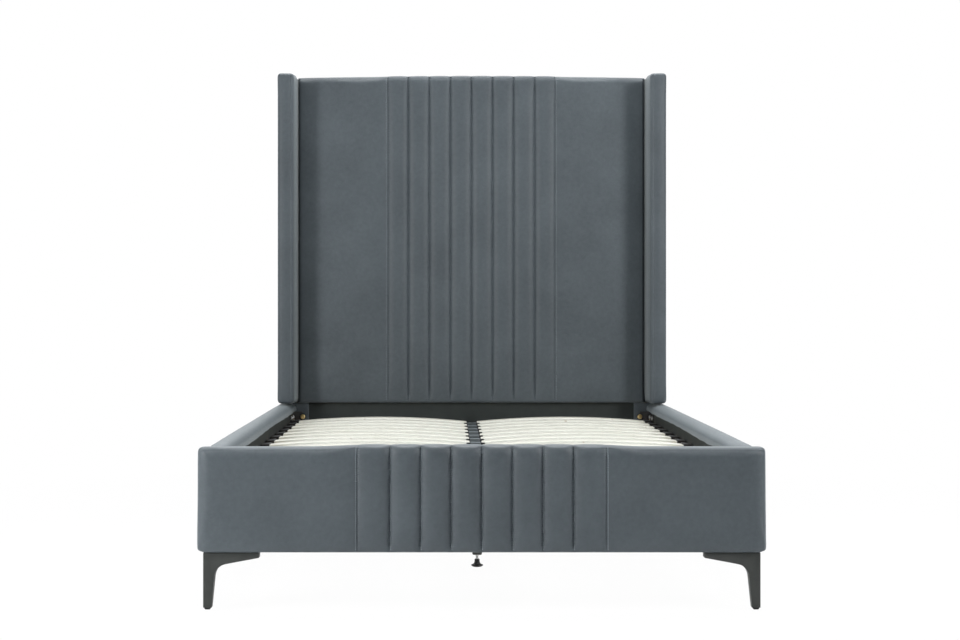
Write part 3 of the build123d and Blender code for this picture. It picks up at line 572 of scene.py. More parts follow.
# %% Footboard
def fluted_board(name, low, high, seams, depths, rounds, rims, sizes, top):
    """A padded board with flutes. Depths are those of a seam and of the panels behind the flutes'
    crest, then the section's power and the cleft. Rims are the widths cut finely at the ends, the
    front, the bottom and the top. Sizes are the steps of the net across and up. Top gives the
    height of the upper edge over the block at each x."""
    piece = block(name, low, high)
    cut(piece, 0, flute_cuts(seams, high[0], rims[0], sizes[0]))
    cut(piece, 2, rim_cuts(low[2], high[2], rims[2], rims[3], sizes[1]))
    cut(piece, 1, rim_cuts(low[1], high[1], rims[1], 0.010, 0.02))
    flat = points(piece)
    front = np.clip(1 - (flat[:, 1] - low[1]) / rims[1], 0, 1)
    up = np.clip(1 - (high[2] - flat[:, 2]) / rims[3], 0, 1)
    at = foam_round(flat, low, high, rounds)
    relief = np.clip((flat[:, 2] - low[2] - 0.002) / rims[2] / 2, 0, 1)
    at[:, 1] += front * (depths[1] + relief * (fluted(flat[:, 0], seams, *depths) - depths[1]))
    at[:, 2] += up * top(flat[:, 0])
    place_points(piece, at)
    held = (from_seam(flat[:, 0], seams) < on_line) & (front > 0.3)
    held |= (at[:, 1] > high[1] - 0.004) | (flat[:, 2] < low[2] + 0.004)
    return piece, held


def upholster(board, held, pressure, seams, node):
    """Swells a board's cover, marks for the velvet how close each point is to a seam, and hands
    the board over."""
    swell(board, held, pressure, 0.002)
    mark(board, "gather", np.clip(1 - from_seam(points(board)[:, 0], seams) / 0.012, 0, 1))
    soften(board)
    hand_over(board, node, slate_velvet, 60)


crest_rise = 0.0018
foot_low, foot_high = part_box("footboard_pad")
foot_edge = 0.4385
foot_seams = [-0.3345, *inner_seams, 0.3345]


def foot_top(x):
    """The top edge: level over the panels, and up a little to the flutes."""
    climb = np.clip((0.425 - np.abs(x)) / 0.09, 0, 1)
    return 0.0038 * climb * climb * (3 - 2 * climb) + crest_rise * arch(x, foot_seams)


footboard, held = fluted_board(
    "footboard_velvet", (foot_low.x, foot_low.y - 0.0015, foot_low.z),
    (foot_high.x, foot_high.y, foot_edge), foot_seams, (0.0165, 0.0060, 2.8, 0),
    [((0, 2), (0.013, 0.013, 0.011, 0.013)), ((0, 1), (0.030, 0.030, 0.030, 0.008)),
     ((1, 2), (0.026, 0.012, 0.007, 0.026))],
    (0.030, 0.030, 0.008, 0.026), (0.024, 0.016), foot_top)
at = points(footboard)
end = np.clip((np.abs(at[:, 0]) - 0.70) / 0.06, 0, 1) ** 2
low_down = np.clip((0.437 - at[:, 2]) / 0.28, 0, 1)
at[:, 0] += np.sign(at[:, 0]) * end * (0.0050 + 0.0014 * low_down)
in_front = np.clip((-1.015 - at[:, 1]) / 0.008, 0, 1)
at_bottom = np.clip((0.19 - at[:, 2]) / 0.035, 0, 1)
at[:, 2] -= 0.0025 * in_front * at_bottom
place_points(footboard, at)
upholster(footboard, held, 2.0, foot_seams, "footboard_pad")

# %% [markdown]
# The headboard's board is the same idea, a metre and a quarter tall. Its top edge climbs from
# each side to the middle, where the flutes wrap over it.

# %% Headboard
head_low, head_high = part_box("headboard_pad")
head_edge = 1.7085
head_half = 0.6795
head_seams = [-0.3275, *inner_seams, 0.3275]


def head_top(x):
    """The gentle climb of the top edge, with the flutes' crests just above their seams."""
    climb = np.clip(1 - np.abs(x) / head_half, 0, 1)
    return 0.0070 * climb ** 0.35 + crest_rise * arch(x, head_seams)


headboard, held = fluted_board(
    "headboard_velvet", tuple(head_low), (head_high.x, head_high.y, head_edge),
    head_seams, (0.0095, 0.0040, 5, 0.003),
    [((0, 2), (0.003, 0.003, 0.003, 0.004)), ((0, 1), (0.014, 0.014, 0.018, 0.008)),
     ((1, 2), (0.022, 0.012, 0.012, 0.022))],
    (0.014, 0.022, 0.012, 0.022), (0.030, 0.032), head_top)
upholster(headboard, held, 1.2, head_seams, "headboard_pad")

# %% [markdown]
# Wings. Each is a tall padded board set at a right angle to the headboard. A seam runs up its
# front, a finger's breadth from the inner side, and the cover makes a soft roll between the two.
# It starts as a block, has its edges rounded, gets its seam pushed in, and its cover is blown up.
# Over the post its bottom comes down to the timber, so that no light shows through.

# %% Wings
both_sides = (("left", -1), ("right", 1))
wing_edge = 0.013
wing_roll = 0.0145
wing_back_edge = 0.010
post_front, post_drop = 0.965, 0.0055
for side, sign in both_sides:
    low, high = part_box(f"wing_pad_{side}")
    low, high = tuple(low), (high.x, high.y, high.z + 0.0015)
    wing = block(f"wing_velvet_{side}", low, high)
    inner, outer = (high[0], low[0]) if sign < 0 else (low[0], high[0])
    rolled = [inner + sign * wing_roll * share for share in (1.15, 1, 0.85, 0.6, 0.35, 0.12)]
    plain = [outer - sign * wing_edge * share for share in rim_shares]
    cut(wing, 0, rolled + plain + [inner + sign * 0.027, inner + sign * 0.039])
    cut(wing, 1, rim_cuts(low[1], high[1], wing_roll, wing_edge, 0.030))
    cut(wing, 2, rim_cuts(low[2], high[2], wing_edge, wing_edge, 0.036))
    flat = points(wing)
    turns = [wing_roll, wing_edge] if sign > 0 else [wing_edge, wing_roll]
    upright_edges = ((0, 1), (*turns, wing_edge, wing_back_edge))
    at = foam_round(flat, low, high, [((0, 2), (*turns, wing_edge, wing_edge)),
                                      ((1, 2), (wing_edge,) * 4), upright_edges])
    square = foam_round(flat, low, high, [upright_edges])
    behind = np.clip((flat[:, 1] - low[1] - 0.02) / 0.05, 0, 1)
    behind *= (flat[:, 2] < low[2] + wing_roll) | (flat[:, 2] > high[2] - wing_roll)
    at += behind[:, None] * (square - at)
    over_post = np.clip((flat[:, 1] - post_front) / 0.015, 0, 1) * (flat[:, 2] < low[2] + 0.002)
    at[:, 2] -= post_drop * over_post
    from_inner = np.abs(flat[:, 0] - inner)
    seam = (np.abs(from_inner - wing_roll) < 0.0003) & (flat[:, 1] < low[1] + 0.003)
    at[:, 1] += 0.0030 * seam
    place_points(wing, at)
    near_x = np.minimum(flat[:, 0] - low[0], high[0] - flat[:, 0]) < 0.001
    near_y = np.minimum(flat[:, 1] - low[1], high[1] - flat[:, 1]) < 0.001
    held = (near_x & near_y) | (at[:, 1] > high[1] - 0.004) | seam
    swell(wing, held, 2.0, 0.0025)
    # Painted shade: the inner face of each wing darkens towards the headboard, into the shaded corner
    # between them.
    depth = np.clip((flat[:, 1] - low[1] - 0.03) / (head_low.y - low[1] - 0.03), 0, 1)
    mark(wing, "painted_shade", 0.92 * (from_inner < 0.002) * depth ** 1.4)
    soften(wing)
    hand_over(wing, f"wing_pad_{side}", slate_velvet, 60)

# %% [markdown]
# Side rails. Foam and velvet go over the outside, under the bottom and over the top, and turn
# down inside as a lip. The section is extruded face by face from a thin outer slab. Its top edges
# are then pulled onto rounds, a tight one outside and a broad soft one over the lip.

# %% Side rails
rail_top, under_top, over_bottom = 0.437, 0.426, 0.162
outer_round, lip_round, top_round = 0.011, 0.036, 0.020
for side, sign in both_sides:
    low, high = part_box(f"rail_pad_{side}")
    outer, inner = (low.x, high.x) if sign < 0 else (high.x, low.x)
    skin = outer - sign * 0.008
    rail = block(f"rail_velvet_{side}", (min(outer, skin), low.y, low.z),
                 (max(outer, skin), high.y, rail_top))
    cut(rail, 2, [over_bottom, under_top])
    extrude(rail, lambda m, n: n.x * sign < -0.5 and m.z > under_top,
            (-sign * 0.044, 0, 0), (-sign * 0.012, 0, 0))
    extrude(rail, lambda m, n: n.z < -0.5 and abs(m.x) < 0.6985 and m.z > 0.42, (0, 0, -0.019))
    extrude(rail, lambda m, n: n.x * sign < -0.5 and m.z < over_bottom, (-sign * 0.040, 0, 0))
    round_off(rail, lambda m, d: abs(d.y) > 0.9 and abs(m.x - outer) < 0.001 and m.z < 0.16,
              0.005, 3)
    cut(rail, 1, spread(low.y, high.y, 0.045))
    cut(rail, 2, spread(over_bottom, under_top, 0.045))
    cut(rail, 2, [rail_top - top_round * share for share in rim_shares])
    cut(rail, 0, [outer - sign * outer_round * share for share in rim_shares])
    cut(rail, 0, [inner + sign * lip_round * share for share in rim_shares])
    reaches = (outer_round, lip_round) if sign < 0 else (lip_round, outer_round)
    at = foam_round(points(rail), low, (high.x, high.y, rail_top),
                    [((0, 2), (*reaches, 0, top_round))])
    across = np.abs(at[:, 0])
    crown = np.clip(1 - ((across - 0.722) / 0.028) ** 2, 0, 1)
    near_foot = np.clip((at[:, 1] - low.y) / 0.04, 0, 1)
    at[:, 2] += np.where(at[:, 2] > 0.430, 0.0014 * crown * near_foot - 0.0015 * (1 - near_foot), 0)
    hem = (at[:, 2] < 0.412) & (at[:, 2] > 0.400) & (across < 0.7)
    at[:, 2] += hem * (0.0018 * np.sin(at[:, 1] * 5.5 + 1) + 0.0008 * np.sin(at[:, 1] * 38)
                       + 0.0006 * np.sin(at[:, 1] * 91 + sign))
    place_points(rail, at)
    covered = (across < 0.7415) & (at[:, 2] < 0.405)
    swell(rail, covered | hem | (at[:, 2] < 0.157), 1.5, 0.002)
    hand_over(rail, f"rail_pad_{side}", slate_velvet, 60)

# %% [markdown]
# Finishes for the rigid pieces that come straight from the frame. Each has its own scale of
# detail: powder coat has a fine orange peel, moulded plastic a fine spark texture, zinc plate a
# cloudy roughness, sawn timber its grain along the board.

# %% Powder coat, plastic, plate and timber
def coated(name, deep, light, peel, metallic=0.0, rough=(0.4, 0.55)):
    """A hard finish: cloudy colour, uneven roughness and a fine relief."""
    material, tree, shader = finish(name, Metallic=metallic)
    where = place_of(tree)
    cloud = noise(tree, where, 35, 4, 0.6)
    scuffed = noise(tree, where, 220, 3, 0.6)
    patterned(tree, shader, ramp(tree, cloud, [(0.35, deep), (0.65, light)]),
              span(tree, scuffed, 0.3, 0.7, *rough),
              bump(tree, noise(tree, where, peel, 2, 0.5), 0.0002, 0.5))
    return material


def grained(name, deep, light, along, scale, rough=(0.5, 0.7)):
    """Wood with its grain along one axis."""
    material, tree, shader = finish(name)
    where = place_of(tree, [0.04 if axis == along else 1 for axis in "xyz"])
    rings = noise(tree, where, scale, 5, 0.6)
    fibre = noise(tree, where, scale * 9, 2, 0.5)
    colour = ramp(tree, rings, [(0.35, deep), (0.6, light)])
    streak = ramp(tree, fibre, [(0.35, (0.9, 0.88, 0.84)), (0.6, (1, 1, 1))])
    patterned(tree, shader, tinted(tree, colour, streak),
              span(tree, fibre, 0.3, 0.7, *rough), bump(tree, fibre, 0.0003, 0.5))
    return material


def woven(name, deep, light):
    """Thin non-woven cloth: pressed dimples in a grid, cloudy and matt."""
    material, tree, shader = finish(name)
    where = place_of(tree)
    cloud = noise(tree, where, 18, 4, 0.6)
    dimples = add(tree, "ShaderNodeTexVoronoi", {"Vector": where, "Scale": 420, "Randomness": 0.25})
    relief = bump(tree, dimples.outputs["Distance"], 0.0003, 0.6)
    patterned(tree, shader, ramp(tree, cloud, [(0.3, deep), (0.7, light)]),
              span(tree, cloud, 0.3, 0.7, 0.8, 0.92),
              bump(tree, noise(tree, where, 30), 0.0012, 0.4, relief))
    return material


powder_coat = coated("grey-green powder coat", (0.022, 0.025, 0.023), (0.030, 0.034, 0.031), 900)
black_plastic = coated("black plastic", (0.010, 0.010, 0.010), (0.016, 0.016, 0.017), 1600)
zinc = coated("bright zinc plate", (0.52, 0.53, 0.53), (0.66, 0.66, 0.65), 700, 1.0, (0.25, 0.4))
yellow_zinc = coated("yellow zinc plate", (0.60, 0.46, 0.20), (0.74, 0.60, 0.32), 700, 0.7,
                     (0.25, 0.4))
timber = {axis: grained(name, (0.46, 0.32, 0.18), (0.62, 0.46, 0.28), axis, 40)
          for axis, name in (("y", "rail timber"), ("x", "cross timber"), ("z", "upright timber"))}
slat_wood = grained("bare slat wood", (0.80, 0.80, 0.74), (0.86, 0.86, 0.80), "x", 26, (0.35, 0.5))
black_cloth = woven("black lining cloth", (0.016, 0.021, 0.020), (0.028, 0.034, 0.032))


def dress(node, material):
    """Gives a node that stays in view its finish."""
    owner = frame["nodes"][node]
    if not owner.material_slots:
        owner.data.materials.append(material)
    for place in owner.material_slots:
        place.material = material


by_slot = {"velvet": slate_velvet, "black_cloth": black_cloth, "timber": timber["x"],
           "slat_wood": slat_wood, "leg_metal": powder_coat, "black_plastic": black_plastic,
           "steel": zinc, "brass_bolt": yellow_zinc}
for node, slot in slot_of.items():
    dress(node, by_slot[slot])
for side, sign in both_sides:
    for kind, grain in (("rail_frame", "y"), ("slat_ledge", "y"), ("headboard_stile", "z"),
                        ("wing_frame", "z")):
        dress(f"{kind}_{side}", timber[grain])
print("finishes", len(bpy.data.materials))

# %% [markdown]
# Cloth over timber. The beam down the middle is wrapped in the bed's velvet, and the low rail at
# the head in black lining. Neither has foam, so each keeps the timber's shape with small rounds
# where the cloth turns an edge, and a lap with a raised edge where it is stapled underneath.

# %% Wrapped beam and low rail
def wrapped(name, node, material, along, rounding):
    """A level bar of timber in tight cloth, with a lap along its underside."""
    low, high = (tuple(corner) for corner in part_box(node))
    bar = block(name, low, high)
    across = 1 - along
    middle = (low[across] + high[across]) / 2
    half = (high[across] - low[across]) / 2
    cut(bar, across, [middle - half * 0.35, middle + half * 0.55])
    extrude(bar, lambda m, n: abs(m.z - low[2]) < 0.001
            and middle - half * 0.3 < m[across] < middle + half * 0.5, (0, 0, -0.0012))
    round_off(bar, lambda m, d: abs(d[along]) > 0.9 and abs(m[across] - middle) > half * 0.98,
              rounding, 4)
    cut(bar, along, spread(low[along], high[along], 0.03))
    at = points(bar)
    tug = 0.0004 * (np.sin(at[:, along] * 71) + np.sin(at[:, along] * 133 + at[:, across] * 60))
    away = at[:, across] - middle
    at[:, across] += np.sign(away) * (np.abs(away) > half * 0.9) * (tug - 0.0006)
    place_points(bar, at)
    hand_over(bar, node, material, 50)


wrapped("centre_beam_velvet", "centre_beam", slate_velvet, 1, 0.004)
wrapped("low_rail_cloth", "headboard_low_rail", black_cloth, 0, 0.003)

# %% [markdown]
# Linings. Thin black non-woven cloth is stapled tight over the hollow frames: inside the two side
# rails and the footboard, and over the whole back. It is pulled from its edges, so it has long
# shallow pulls that die out at the staples. Each is a thin block cut into a net, and both of its
# faces are moved out together, which keeps its thickness.

# %% Linings
def lining(name, node, thin_axis, facing):
    """A stretched cloth in a node's place. Its pulls lift it to the side that it faces."""
    low, high = (tuple(corner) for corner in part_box(node))
    cloth = block(name, low, high)
    wide, tall = [axis for axis in (0, 1, 2) if axis != thin_axis]
    cut(cloth, wide, spread(low[wide], high[wide], 0.014))
    cut(cloth, tall, spread(low[tall], high[tall], 0.030))
    at = points(cloth)
    u = (at[:, wide] - low[wide]) / (high[wide] - low[wide])
    v = (at[:, tall] - low[tall]) / (high[tall] - low[tall])
    held = np.clip(np.minimum(u, 1 - u) * 20, 0, 1) * np.sin(np.pi * np.clip(v, 0, 1)) ** 0.5
    lean = at[:, wide] + 0.12 * at[:, tall]
    pulls = 1.2 + 0.6 * np.sin(lean * 31) + 0.3 * np.sin(lean * 57 + 4 * v) + 0.3 * np.sin(lean * 17)
    at[:, thin_axis] += facing * 0.0007 * held * pulls
    place_points(cloth, at)
    hand_over(cloth, node, black_cloth, 60)


lining("rail_lining_cloth_left", "rail_lining_left", 0, 1)
lining("rail_lining_cloth_right", "rail_lining_right", 0, -1)
lining("footboard_lining_cloth", "footboard_lining", 1, 1)
lining("back_cloth", "headboard_back_cloth", 1, 1)

# %% [markdown]
# Sleeves. Below the headboard's board each post is sewn into a tight velvet sleeve. It starts as
# a block whose two ends are deleted, which leaves a tube, and Solidify gives it its thickness.

# %% Post sleeves
sleeve_low, sleeve_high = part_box("post_sleeves")
sleeve_inner = 0.638
post_middle = 1.006
for side, sign in both_sides:
    ends = sorted((sign * sleeve_inner, sign * sleeve_high.x))
    sleeve = block(f"post_sleeve_{side}", (ends[0], sleeve_low.y, sleeve_low.z),
                   (ends[1], sleeve_high.y, sleeve_high.z))
    choose(sleeve, "FACE", lambda m, n: abs(n.z) > 0.9)
    bpy.ops.mesh.delete(type="FACE")
    leave()
    round_off(sleeve, lambda m, d: abs(d.z) > 0.9, 0.003, 4)
    cut(sleeve, 2, spread(sleeve_low.z, sleeve_high.z, 0.025))
    cut(sleeve, 0, spread(*ends, 0.022))
    at = points(sleeve)
    at[:, 1] += 0.0004 * np.sin(at[:, 2] * 60 + at[:, 0] * 45) * np.sign(at[:, 1] - post_middle)
    place_points(sleeve, at)
    thick = sleeve.modifiers.new("thickness", "SOLIDIFY")
    thick.thickness = 0.0018
    thick.offset = -1
    apply_all(sleeve)
    hand_over(sleeve, "post_sleeves", slate_velvet, 50)

# %% [markdown]
# Stitches and staples. Each outermost seam has a row of stitches beside it, and so has each seam
# of the footboard. They are small beads of thread, laid on the cover by a ray from the front, so
# that they follow its swell. The back cloth is held by staples along its edges. A bead or a staple
# is modelled once and strewn, as one mesh.

# %% Stitches and staples
def strewn(name, source, places, material):
    """One piece made of a copy of the source at each place. The source is then removed."""
    whole = bmesh.new()
    for place in places:
        count = len(whole.verts)
        whole.from_mesh(source.data)
        whole.verts.ensure_lookup_table()
        bmesh.ops.translate(whole, verts=whole.verts[count:], vec=place)
    piece = bpy.data.objects.new(name, bpy.data.meshes.new(name))
    whole.to_mesh(piece.data)
    whole.free()
    scene.collection.objects.link(piece)
    bpy.data.objects.remove(source)
    piece.data.materials.append(material)
    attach(piece, "bed")
    print(name, len(places), "copies")


def stitch_places(board, lines, bottom, top):
    """Places on the board's front, along upright lines, where it doesn't turn away."""
    bpy.context.view_layer.update()
    stitch_pitch = 0.0063
    found = []
    for x in lines:
        for z in np.arange(bottom, top, stitch_pitch):
            hit, at, normal, face = board.ray_cast((x, -3, float(z)), (0, 1, 0))
            if hit and normal.y < -0.35:
                found.append(tuple(at))
    return found


thread = coated("seam thread", (0.34, 0.40, 0.44), (0.46, 0.53, 0.57), 3000, 0.0, (0.6, 0.8))
beside = 0.0052
foot_lines = [foot_seams[0] - beside, foot_seams[-1] + beside] + [x + 0.0016 for x in inner_seams]
head_lines = [head_seams[0] - beside, head_seams[-1] + beside]
for board, lines, bottom, top, radius in ((footboard, foot_lines, 0.164, 0.436, 0.0008),
                                          (headboard, head_lines, 0.450, 1.705, 0.0005)):
    bpy.ops.object.select_all(action="DESELECT")
    bpy.ops.mesh.primitive_uv_sphere_add(segments=6, ring_count=4, radius=radius)
    bpy.context.active_object.scale = (1, 1, 2.0)
    bead = named("bead")
    smooth(bead, 80)
    strewn(board.name.replace("velvet", "stitches"), bead,
           stitch_places(board, lines, bottom, top), thread)

back_low, back_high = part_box("headboard_back_cloth")
inset = 0.008
staple_y = back_high.y + 0.0006
level = [(x, staple_y, z) for z in (back_low.z + inset, back_high.z - inset)
         for x in spread(back_low.x, back_high.x, 0.05)]
upright = [(x, staple_y, z) for x in (back_low.x + inset, back_high.x - inset)
           for z in spread(back_low.z, back_high.z, 0.05)]
for name, size, places in (("back_staples_level", (0.010, 0.0012, 0.0007), level),
                           ("back_staples_upright", (0.0007, 0.0012, 0.010), upright)):
    wire = block("staple", [-length / 2 for length in size], [length / 2 for length in size])
    round_off(wire, lambda m, d: m.y > 0.0005 and abs(d.y) < 0.5, 0.0003, 1)
    strewn(name, wire, places, zinc)

# %% [markdown]
# Slats. Each is glued from thin plies of birch over a curved form, planed, rounded at its inner
# end and lacquered cream. One is made flat as a block: its inner corners get large rounds and its
# edges a small one, it is cut across into short lengths, and its points are then raised onto the
# arc. The ply attribute keeps each point's height in the slat, which the finish reads for the
# glue lines. The mirrored pair is one row, and the other rows are copies of it.

# %% Slats
def laminated(name):
    """Cream lacquer over birch: grain along the slat, glue lines on its edge and a few specks."""
    material, tree, shader = finish(name)
    fibre = noise(tree, place_of(tree, (0.05, 1, 1)), 240, 3, 0.6)
    cloud = noise(tree, place_of(tree, (0.3, 1, 1)), 14, 3, 0.5)
    colour = ramp(tree, cloud, [(0.35, (0.83, 0.845, 0.775)), (0.65, (0.87, 0.885, 0.82))])
    streak = ramp(tree, fibre, [(0.30, (0.96, 0.955, 0.94)), (0.60, (1, 1, 1))])
    colour = tinted(tree, colour, streak)
    specks = span(tree, noise(tree, place_of(tree, (0.6, 1, 1)), 55, 2, 0.4), 0.72, 0.78, 0, 0.55)
    colour = blend_colour(tree, specks, colour, (0.36, 0.25, 0.15, 1))
    ply = add(tree, "ShaderNodeAttribute", attribute_name="ply").outputs["Fac"]
    glue = span(tree, sums(tree, "PINGPONG", ply, 0.1), 0.0, 0.022, 0.45, 0)
    patterned(tree, shader, blend_colour(tree, glue, colour, (0.42, 0.38, 0.31, 1)),
              span(tree, fibre, 0.3, 0.7, 0.32, 0.46), bump(tree, fibre, 0.0002, 0.4))
    return material


def bevelled(piece, width, segments, sharper_than):
    """Rounds every edge that is sharper than an angle."""
    edge = piece.modifiers.new("eased", "BEVEL")
    edge.width = width
    edge.segments = segments
    edge.limit_method = "ANGLE"
    edge.angle_limit = math.radians(sharper_than)
    apply_all(piece)


def copy_of(piece):
    """A copy with a mesh of its own."""
    copy = piece.copy()
    copy.data = piece.data.copy()
    scene.collection.objects.link(copy)
    return copy


def joined(pieces, name):
    """The pieces as one."""
    only(pieces[0])
    for piece in pieces:
        piece.select_set(True)
    bpy.ops.object.join()
    pieces[0].name = pieces[0].data.name = name
    return pieces[0]


slat_lacquer = laminated("cream slat lacquer")
slat_thickness = 0.008
slat_low, slat_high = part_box("slat_row_01")
slat_inner = 0.020
slat_half = (slat_high.x - slat_inner) / 2
slat_bow = slat_high.z - slat_low.z - slat_thickness
bow_radius = (slat_half ** 2 + slat_bow ** 2) / (2 * slat_bow)

slat = block("slat", (slat_inner, slat_low.y, slat_low.z),
             (slat_high.x, slat_high.y, slat_low.z + slat_thickness))
round_off(slat, lambda m, d: abs(d.z) > 0.9 and m.x < slat_inner + 0.001, 0.014, 6)
bevelled(slat, 0.0014, 3, 50)
cut(slat, 0, spread(slat_inner + 0.016, slat_high.x - 0.002, 0.035))
at = points(slat)
mark(slat, "ply", (at[:, 2] - slat_low.z) / slat_thickness)
from_middle = at[:, 0] - (slat_inner + slat_half)
at[:, 2] += np.sqrt(bow_radius ** 2 - from_middle ** 2) - (bow_radius - slat_bow)
place_points(slat, at)
rows = sorted(node for node in slot_of if node.startswith("slat_row"))
for node in rows:
    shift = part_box(node)[0].y - slat_low.y
    halves = [copy_of(slat), copy_of(slat)]
    for half, sign in zip(halves, (1, -1)):
        place_points(half, points(half) * (sign, 1, 1) + (0, shift, 0))
    halves[1].data.flip_normals()
    hand_over(joined(halves, node + "_lacquered"), node, slat_lacquer, 40)
bpy.data.objects.remove(slat)
print(len(rows), "rows, bow", round(slat_bow * 1000, 1), "mm")

# %% [markdown]
# Hard pieces. No moulded, pressed or sawn edge is perfectly sharp: the eye expects a thin line of
# light along it. So each hard piece is a copy of its node, merged and cleaned of its flat
# triangles, whose edges get a bevel of about a millimetre. The node itself stays as it is.

# %% Eased copies
def eased(node, name, width, material, segments=2):
    """A copy of a node with its edges rounded, to show in the node's place."""
    piece = copy_of(frame["nodes"][node])
    piece.parent = None
    for key in list(piece.keys()):
        del piece[key]
    piece.name = piece.data.name = name
    enter(piece)
    bpy.ops.mesh.remove_doubles(threshold=0.00001)
    bpy.ops.mesh.dissolve_limited(angle_limit=math.radians(1))
    bpy.ops.mesh.normals_make_consistent(inside=False)
    leave()
    bevelled(piece, width, segments, 35)
    piece.data.materials.clear()
    hand_over(piece, node, material, 35)


bracket_black = coated("black powder coat", (0.008, 0.008, 0.009), (0.013, 0.013, 0.014), 900)
eased("front_leg_feet", "front_feet_eased", 0.0008, black_plastic)
eased("beam_hangers", "beam_hangers_eased", 0.0004, zinc)
eased("side_slat_holders", "slat_caps_eased", 0.0005, black_plastic)
for side, sign in both_sides:
    eased(f"front_leg_{side}", f"front_leg_coated_{side}", 0.0011, powder_coat, 3)
    eased(f"foot_bracket_{side}", f"foot_bracket_coated_{side}", 0.0005, bracket_black)
    eased(f"head_bracket_{side}", f"head_bracket_coated_{side}", 0.0005, bracket_black)
for end in ("front", "rear"):
    eased(f"centre_leg_{end}", f"centre_leg_coated_{end}", 0.0012, powder_coat, 3)

# %% [markdown]
# Saddles. Where two slats meet on the beam, a moulded saddle carries them: a pad under each end
# and thin cheeks before and behind. Only the cheeks and the neck between the ends show; the neck is
# coloured slate grey, lighter than the black cheeks. One is made from a pad: four faces of its long
# edges are extruded up as cheeks, and the neck gets a shallow well. The saddle of each row is a
# copy of it.

# %% Saddles
saddle_low, saddle_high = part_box("centre_slat_holders")
pad_top = slat_low.z
cheek = 0.0022
cheek_from, cheek_to = 0.017, 0.030
well_front, well_back = slat_low.y + 0.010, slat_high.y - 0.010
saddle = block("saddle", (saddle_low.x, slat_low.y - cheek, saddle_low.z),
               (saddle_high.x, slat_high.y + cheek, pad_top))
cut(saddle, 1, [slat_low.y - 0.0002, well_front, well_back, slat_high.y + 0.0002])
cut(saddle, 0, [-cheek_to, -cheek_from, cheek_from, cheek_to])
extrude(saddle, lambda m, n: n.z > 0.9 and cheek_from < abs(m.x) < cheek_to
        and (m.y < slat_low.y or m.y > slat_high.y), (0, 0, saddle_high.z - pad_top))
choose(saddle, "FACE", lambda m, n: n.z > 0.9 and m.z < pad_top + 0.0005 and abs(m.x) < 0.005
       and well_front < m.y < well_back)
bpy.ops.mesh.inset(thickness=0.003)
pull(0, 0, -0.0015)
leave()
bevelled(saddle, 0.0005, 2, 30)
neck_grey = coated("slate grey saddle neck", (0.036, 0.046, 0.050), (0.046, 0.058, 0.062), 900, 0.0,
                   (0.5, 0.6))
saddle.data.materials.append(black_plastic)
saddle.data.materials.append(neck_grey)
for face in saddle.data.polygons:
    face.material_index = int(abs(face.center.x) < cheek_from - 0.0007)
saddles = []
for node in rows:
    copy = copy_of(saddle)
    place_points(copy, points(copy) + (0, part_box(node)[0].y - slat_low.y, 0))
    saddles.append(copy)
hand_over(joined(saddles, "slat_saddles"), "centre_slat_holders", None, 40)
bpy.data.objects.remove(saddle)

# %% [markdown]
# Turned pieces. A bolt's head, the glide's bell and its rod are all round, so each is drawn up
# from a disc: the disc is extruded and scaled through the rings of its profile. Their places come
# from the frame: each bolt's solid is found by itself, its length gives its axis, and its wide
# end gives the side that the head is on.

# %% Bolts
def turned(name, x, y, rings, sides):
    """A disc drawn up through its rings, each a height and a radius."""
    piece = disc(name, (x, y, rings[0][0]), rings[0][1], sides)
    enter(piece)
    for (height, radius), (next_height, next_radius) in zip(rings, rings[1:]):
        pull(0, 0, next_height - height)
        share = next_radius / radius
        bpy.ops.transform.resize(value=(share, share, 1), center_override=(x, y, next_height))
    bpy.ops.mesh.select_all(action="SELECT")
    bpy.ops.mesh.normals_make_consistent(inside=False)
    leave()
    return piece


def solids_in(node):
    """The points of each separate solid in a node."""
    mesh = bmesh.new()
    mesh.from_mesh(frame["nodes"][node].data)
    bmesh.ops.remove_doubles(mesh, verts=mesh.verts, dist=0.00001)
    left = set(mesh.verts)
    found = []
    while left:
        group, reach = [], [left.pop()]
        while reach:
            vert = reach.pop()
            group.append(tuple(vert.co))
            for edge in vert.link_edges:
                other = edge.other_vert(vert)
                if other in left:
                    left.discard(other)
                    reach.append(other)
        found.append(np.array(group))
    mesh.free()
    return found


head_height = 0.005
head_radius = 0.0095
socket_radius = 0.0033
sixth = math.pi / 3


def button_bolt(name, length):
    """A bolt at the origin with its head up: shank, crowned head and hexagon socket."""
    bolt = turned(name, 0, 0, ((-length, 0.0034), (0.0006 - length, 0.004), (0, 0.004),
                               (0, head_radius - 0.0004), (0.0004, head_radius),
                               (0.0026, head_radius), (0.0039, 0.0088), (0.0047, 0.0077),
                               (head_height, 0.0064), (head_height, socket_radius),
                               (head_height - 0.0032, socket_radius)), 36)
    at = points(bolt)
    far = np.hypot(at[:, 0], at[:, 1])
    turn = np.arctan2(at[:, 1], at[:, 0]) % sixth - sixth / 2
    flat = math.cos(sixth / 2) / np.cos(turn)
    inside = (far < socket_radius * 1.01) & (at[:, 2] > 0.001)
    at[inside, :2] *= flat[inside, None]
    place_points(bolt, at)
    return bolt


def seated(pattern, solid):
    """A copy of the pattern bolt, turned and moved to where a solid of the frame is."""
    low, high = solid.min(axis=0), solid.max(axis=0)
    axis = int((high - low).argmax())
    middle = (low + high) / 2
    wide = np.linalg.norm(np.delete(solid - middle, axis, 1), axis=1) > 0.006
    sign = 1 if solid[wide, axis].mean() > middle[axis] else -1
    ahead = Vector((0, 0, 0))
    ahead[axis] = sign
    seat = Vector(middle)
    seat[axis] = (high if sign > 0 else low)[axis] - sign * head_height
    copy = copy_of(pattern)
    turn = ahead.to_track_quat("Z", "Y").to_matrix().to_4x4()
    turn.translation = seat
    copy.data.transform(turn)
    return copy


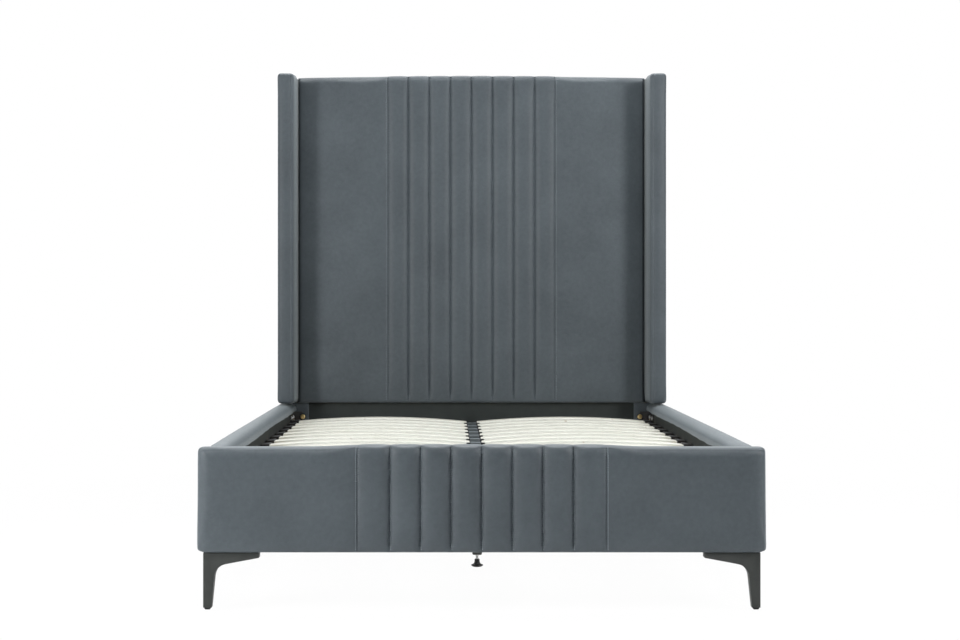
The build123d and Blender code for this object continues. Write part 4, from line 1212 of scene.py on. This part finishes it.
for node, material in (("bracket_bolts", yellow_zinc), ("rail_bolts", zinc), ("wing_bolts", zinc)):
    solids = solids_in(node)
    spans = solids[0].max(axis=0) - solids[0].min(axis=0)
    pattern = button_bolt("pattern", float(spans.max()) - head_height)
    bolts = joined([seated(pattern, solid) for solid in solids], node + "_turned")
    hand_over(bolts, node, material, 35)
    bpy.data.objects.remove(pattern)

# %% [markdown]
# Glides. The bell's profile repeats the frame's rings with a rounded rim and a concave waist. The
# rod's thread is real: the rod is cut into thin discs, and each point is drawn in by its place on
# the helix, a quarter of a pitch at a time.

# %% Glides
thread_pitch = 0.00125
thread_depth = 0.00065
rod_radius = 0.004
for end in ("front", "rear"):
    base_low, base_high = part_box(f"glide_base_{end}")
    x, y = (base_low.x + base_high.x) / 2, (base_low.y + base_high.y) / 2
    bell = turned(f"glide_bell_{end}", x, y, (
        (0, 0.0122), (0.0003, 0.0134), (0.0019, 0.0162), (0.0036, 0.0184), (0.0044, 0.0189),
        (0.0052, 0.0189), (0.0059, 0.0182), (0.0068, 0.0155), (0.0082, 0.0126), (0.0105, 0.0104),
        (0.0138, 0.0086), (0.0175, 0.0080), (0.0230, 0.0080), (0.0240, 0.0070), (0.0240, 0.0041),
        (0.0100, 0.0041)), 40)
    hand_over(bell, f"glide_base_{end}", black_plastic, 50)
    rod_low, rod_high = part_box(f"glide_rod_{end}")
    rod = turned(f"glide_thread_{end}", x, y,
                 ((rod_low.z, rod_radius), (rod_high.z, rod_radius)), 16)
    quarter = thread_pitch / 4
    cut(rod, 2, np.arange(rod_low.z + quarter, rod_high.z - quarter / 2, quarter))
    at = points(rod)
    angle = np.arctan2(at[:, 1] - y, at[:, 0] - x) / (2 * math.pi)
    phase = (at[:, 2] / thread_pitch - angle) % 1
    groove = 1 - np.abs(2 * phase - 1)
    draw = (rod_radius - thread_depth * groove) / rod_radius
    at[:, 0] = x + (at[:, 0] - x) * draw
    at[:, 1] = y + (at[:, 1] - y) * draw
    place_points(rod, at)
    hand_over(rod, f"glide_rod_{end}", zinc, 60)
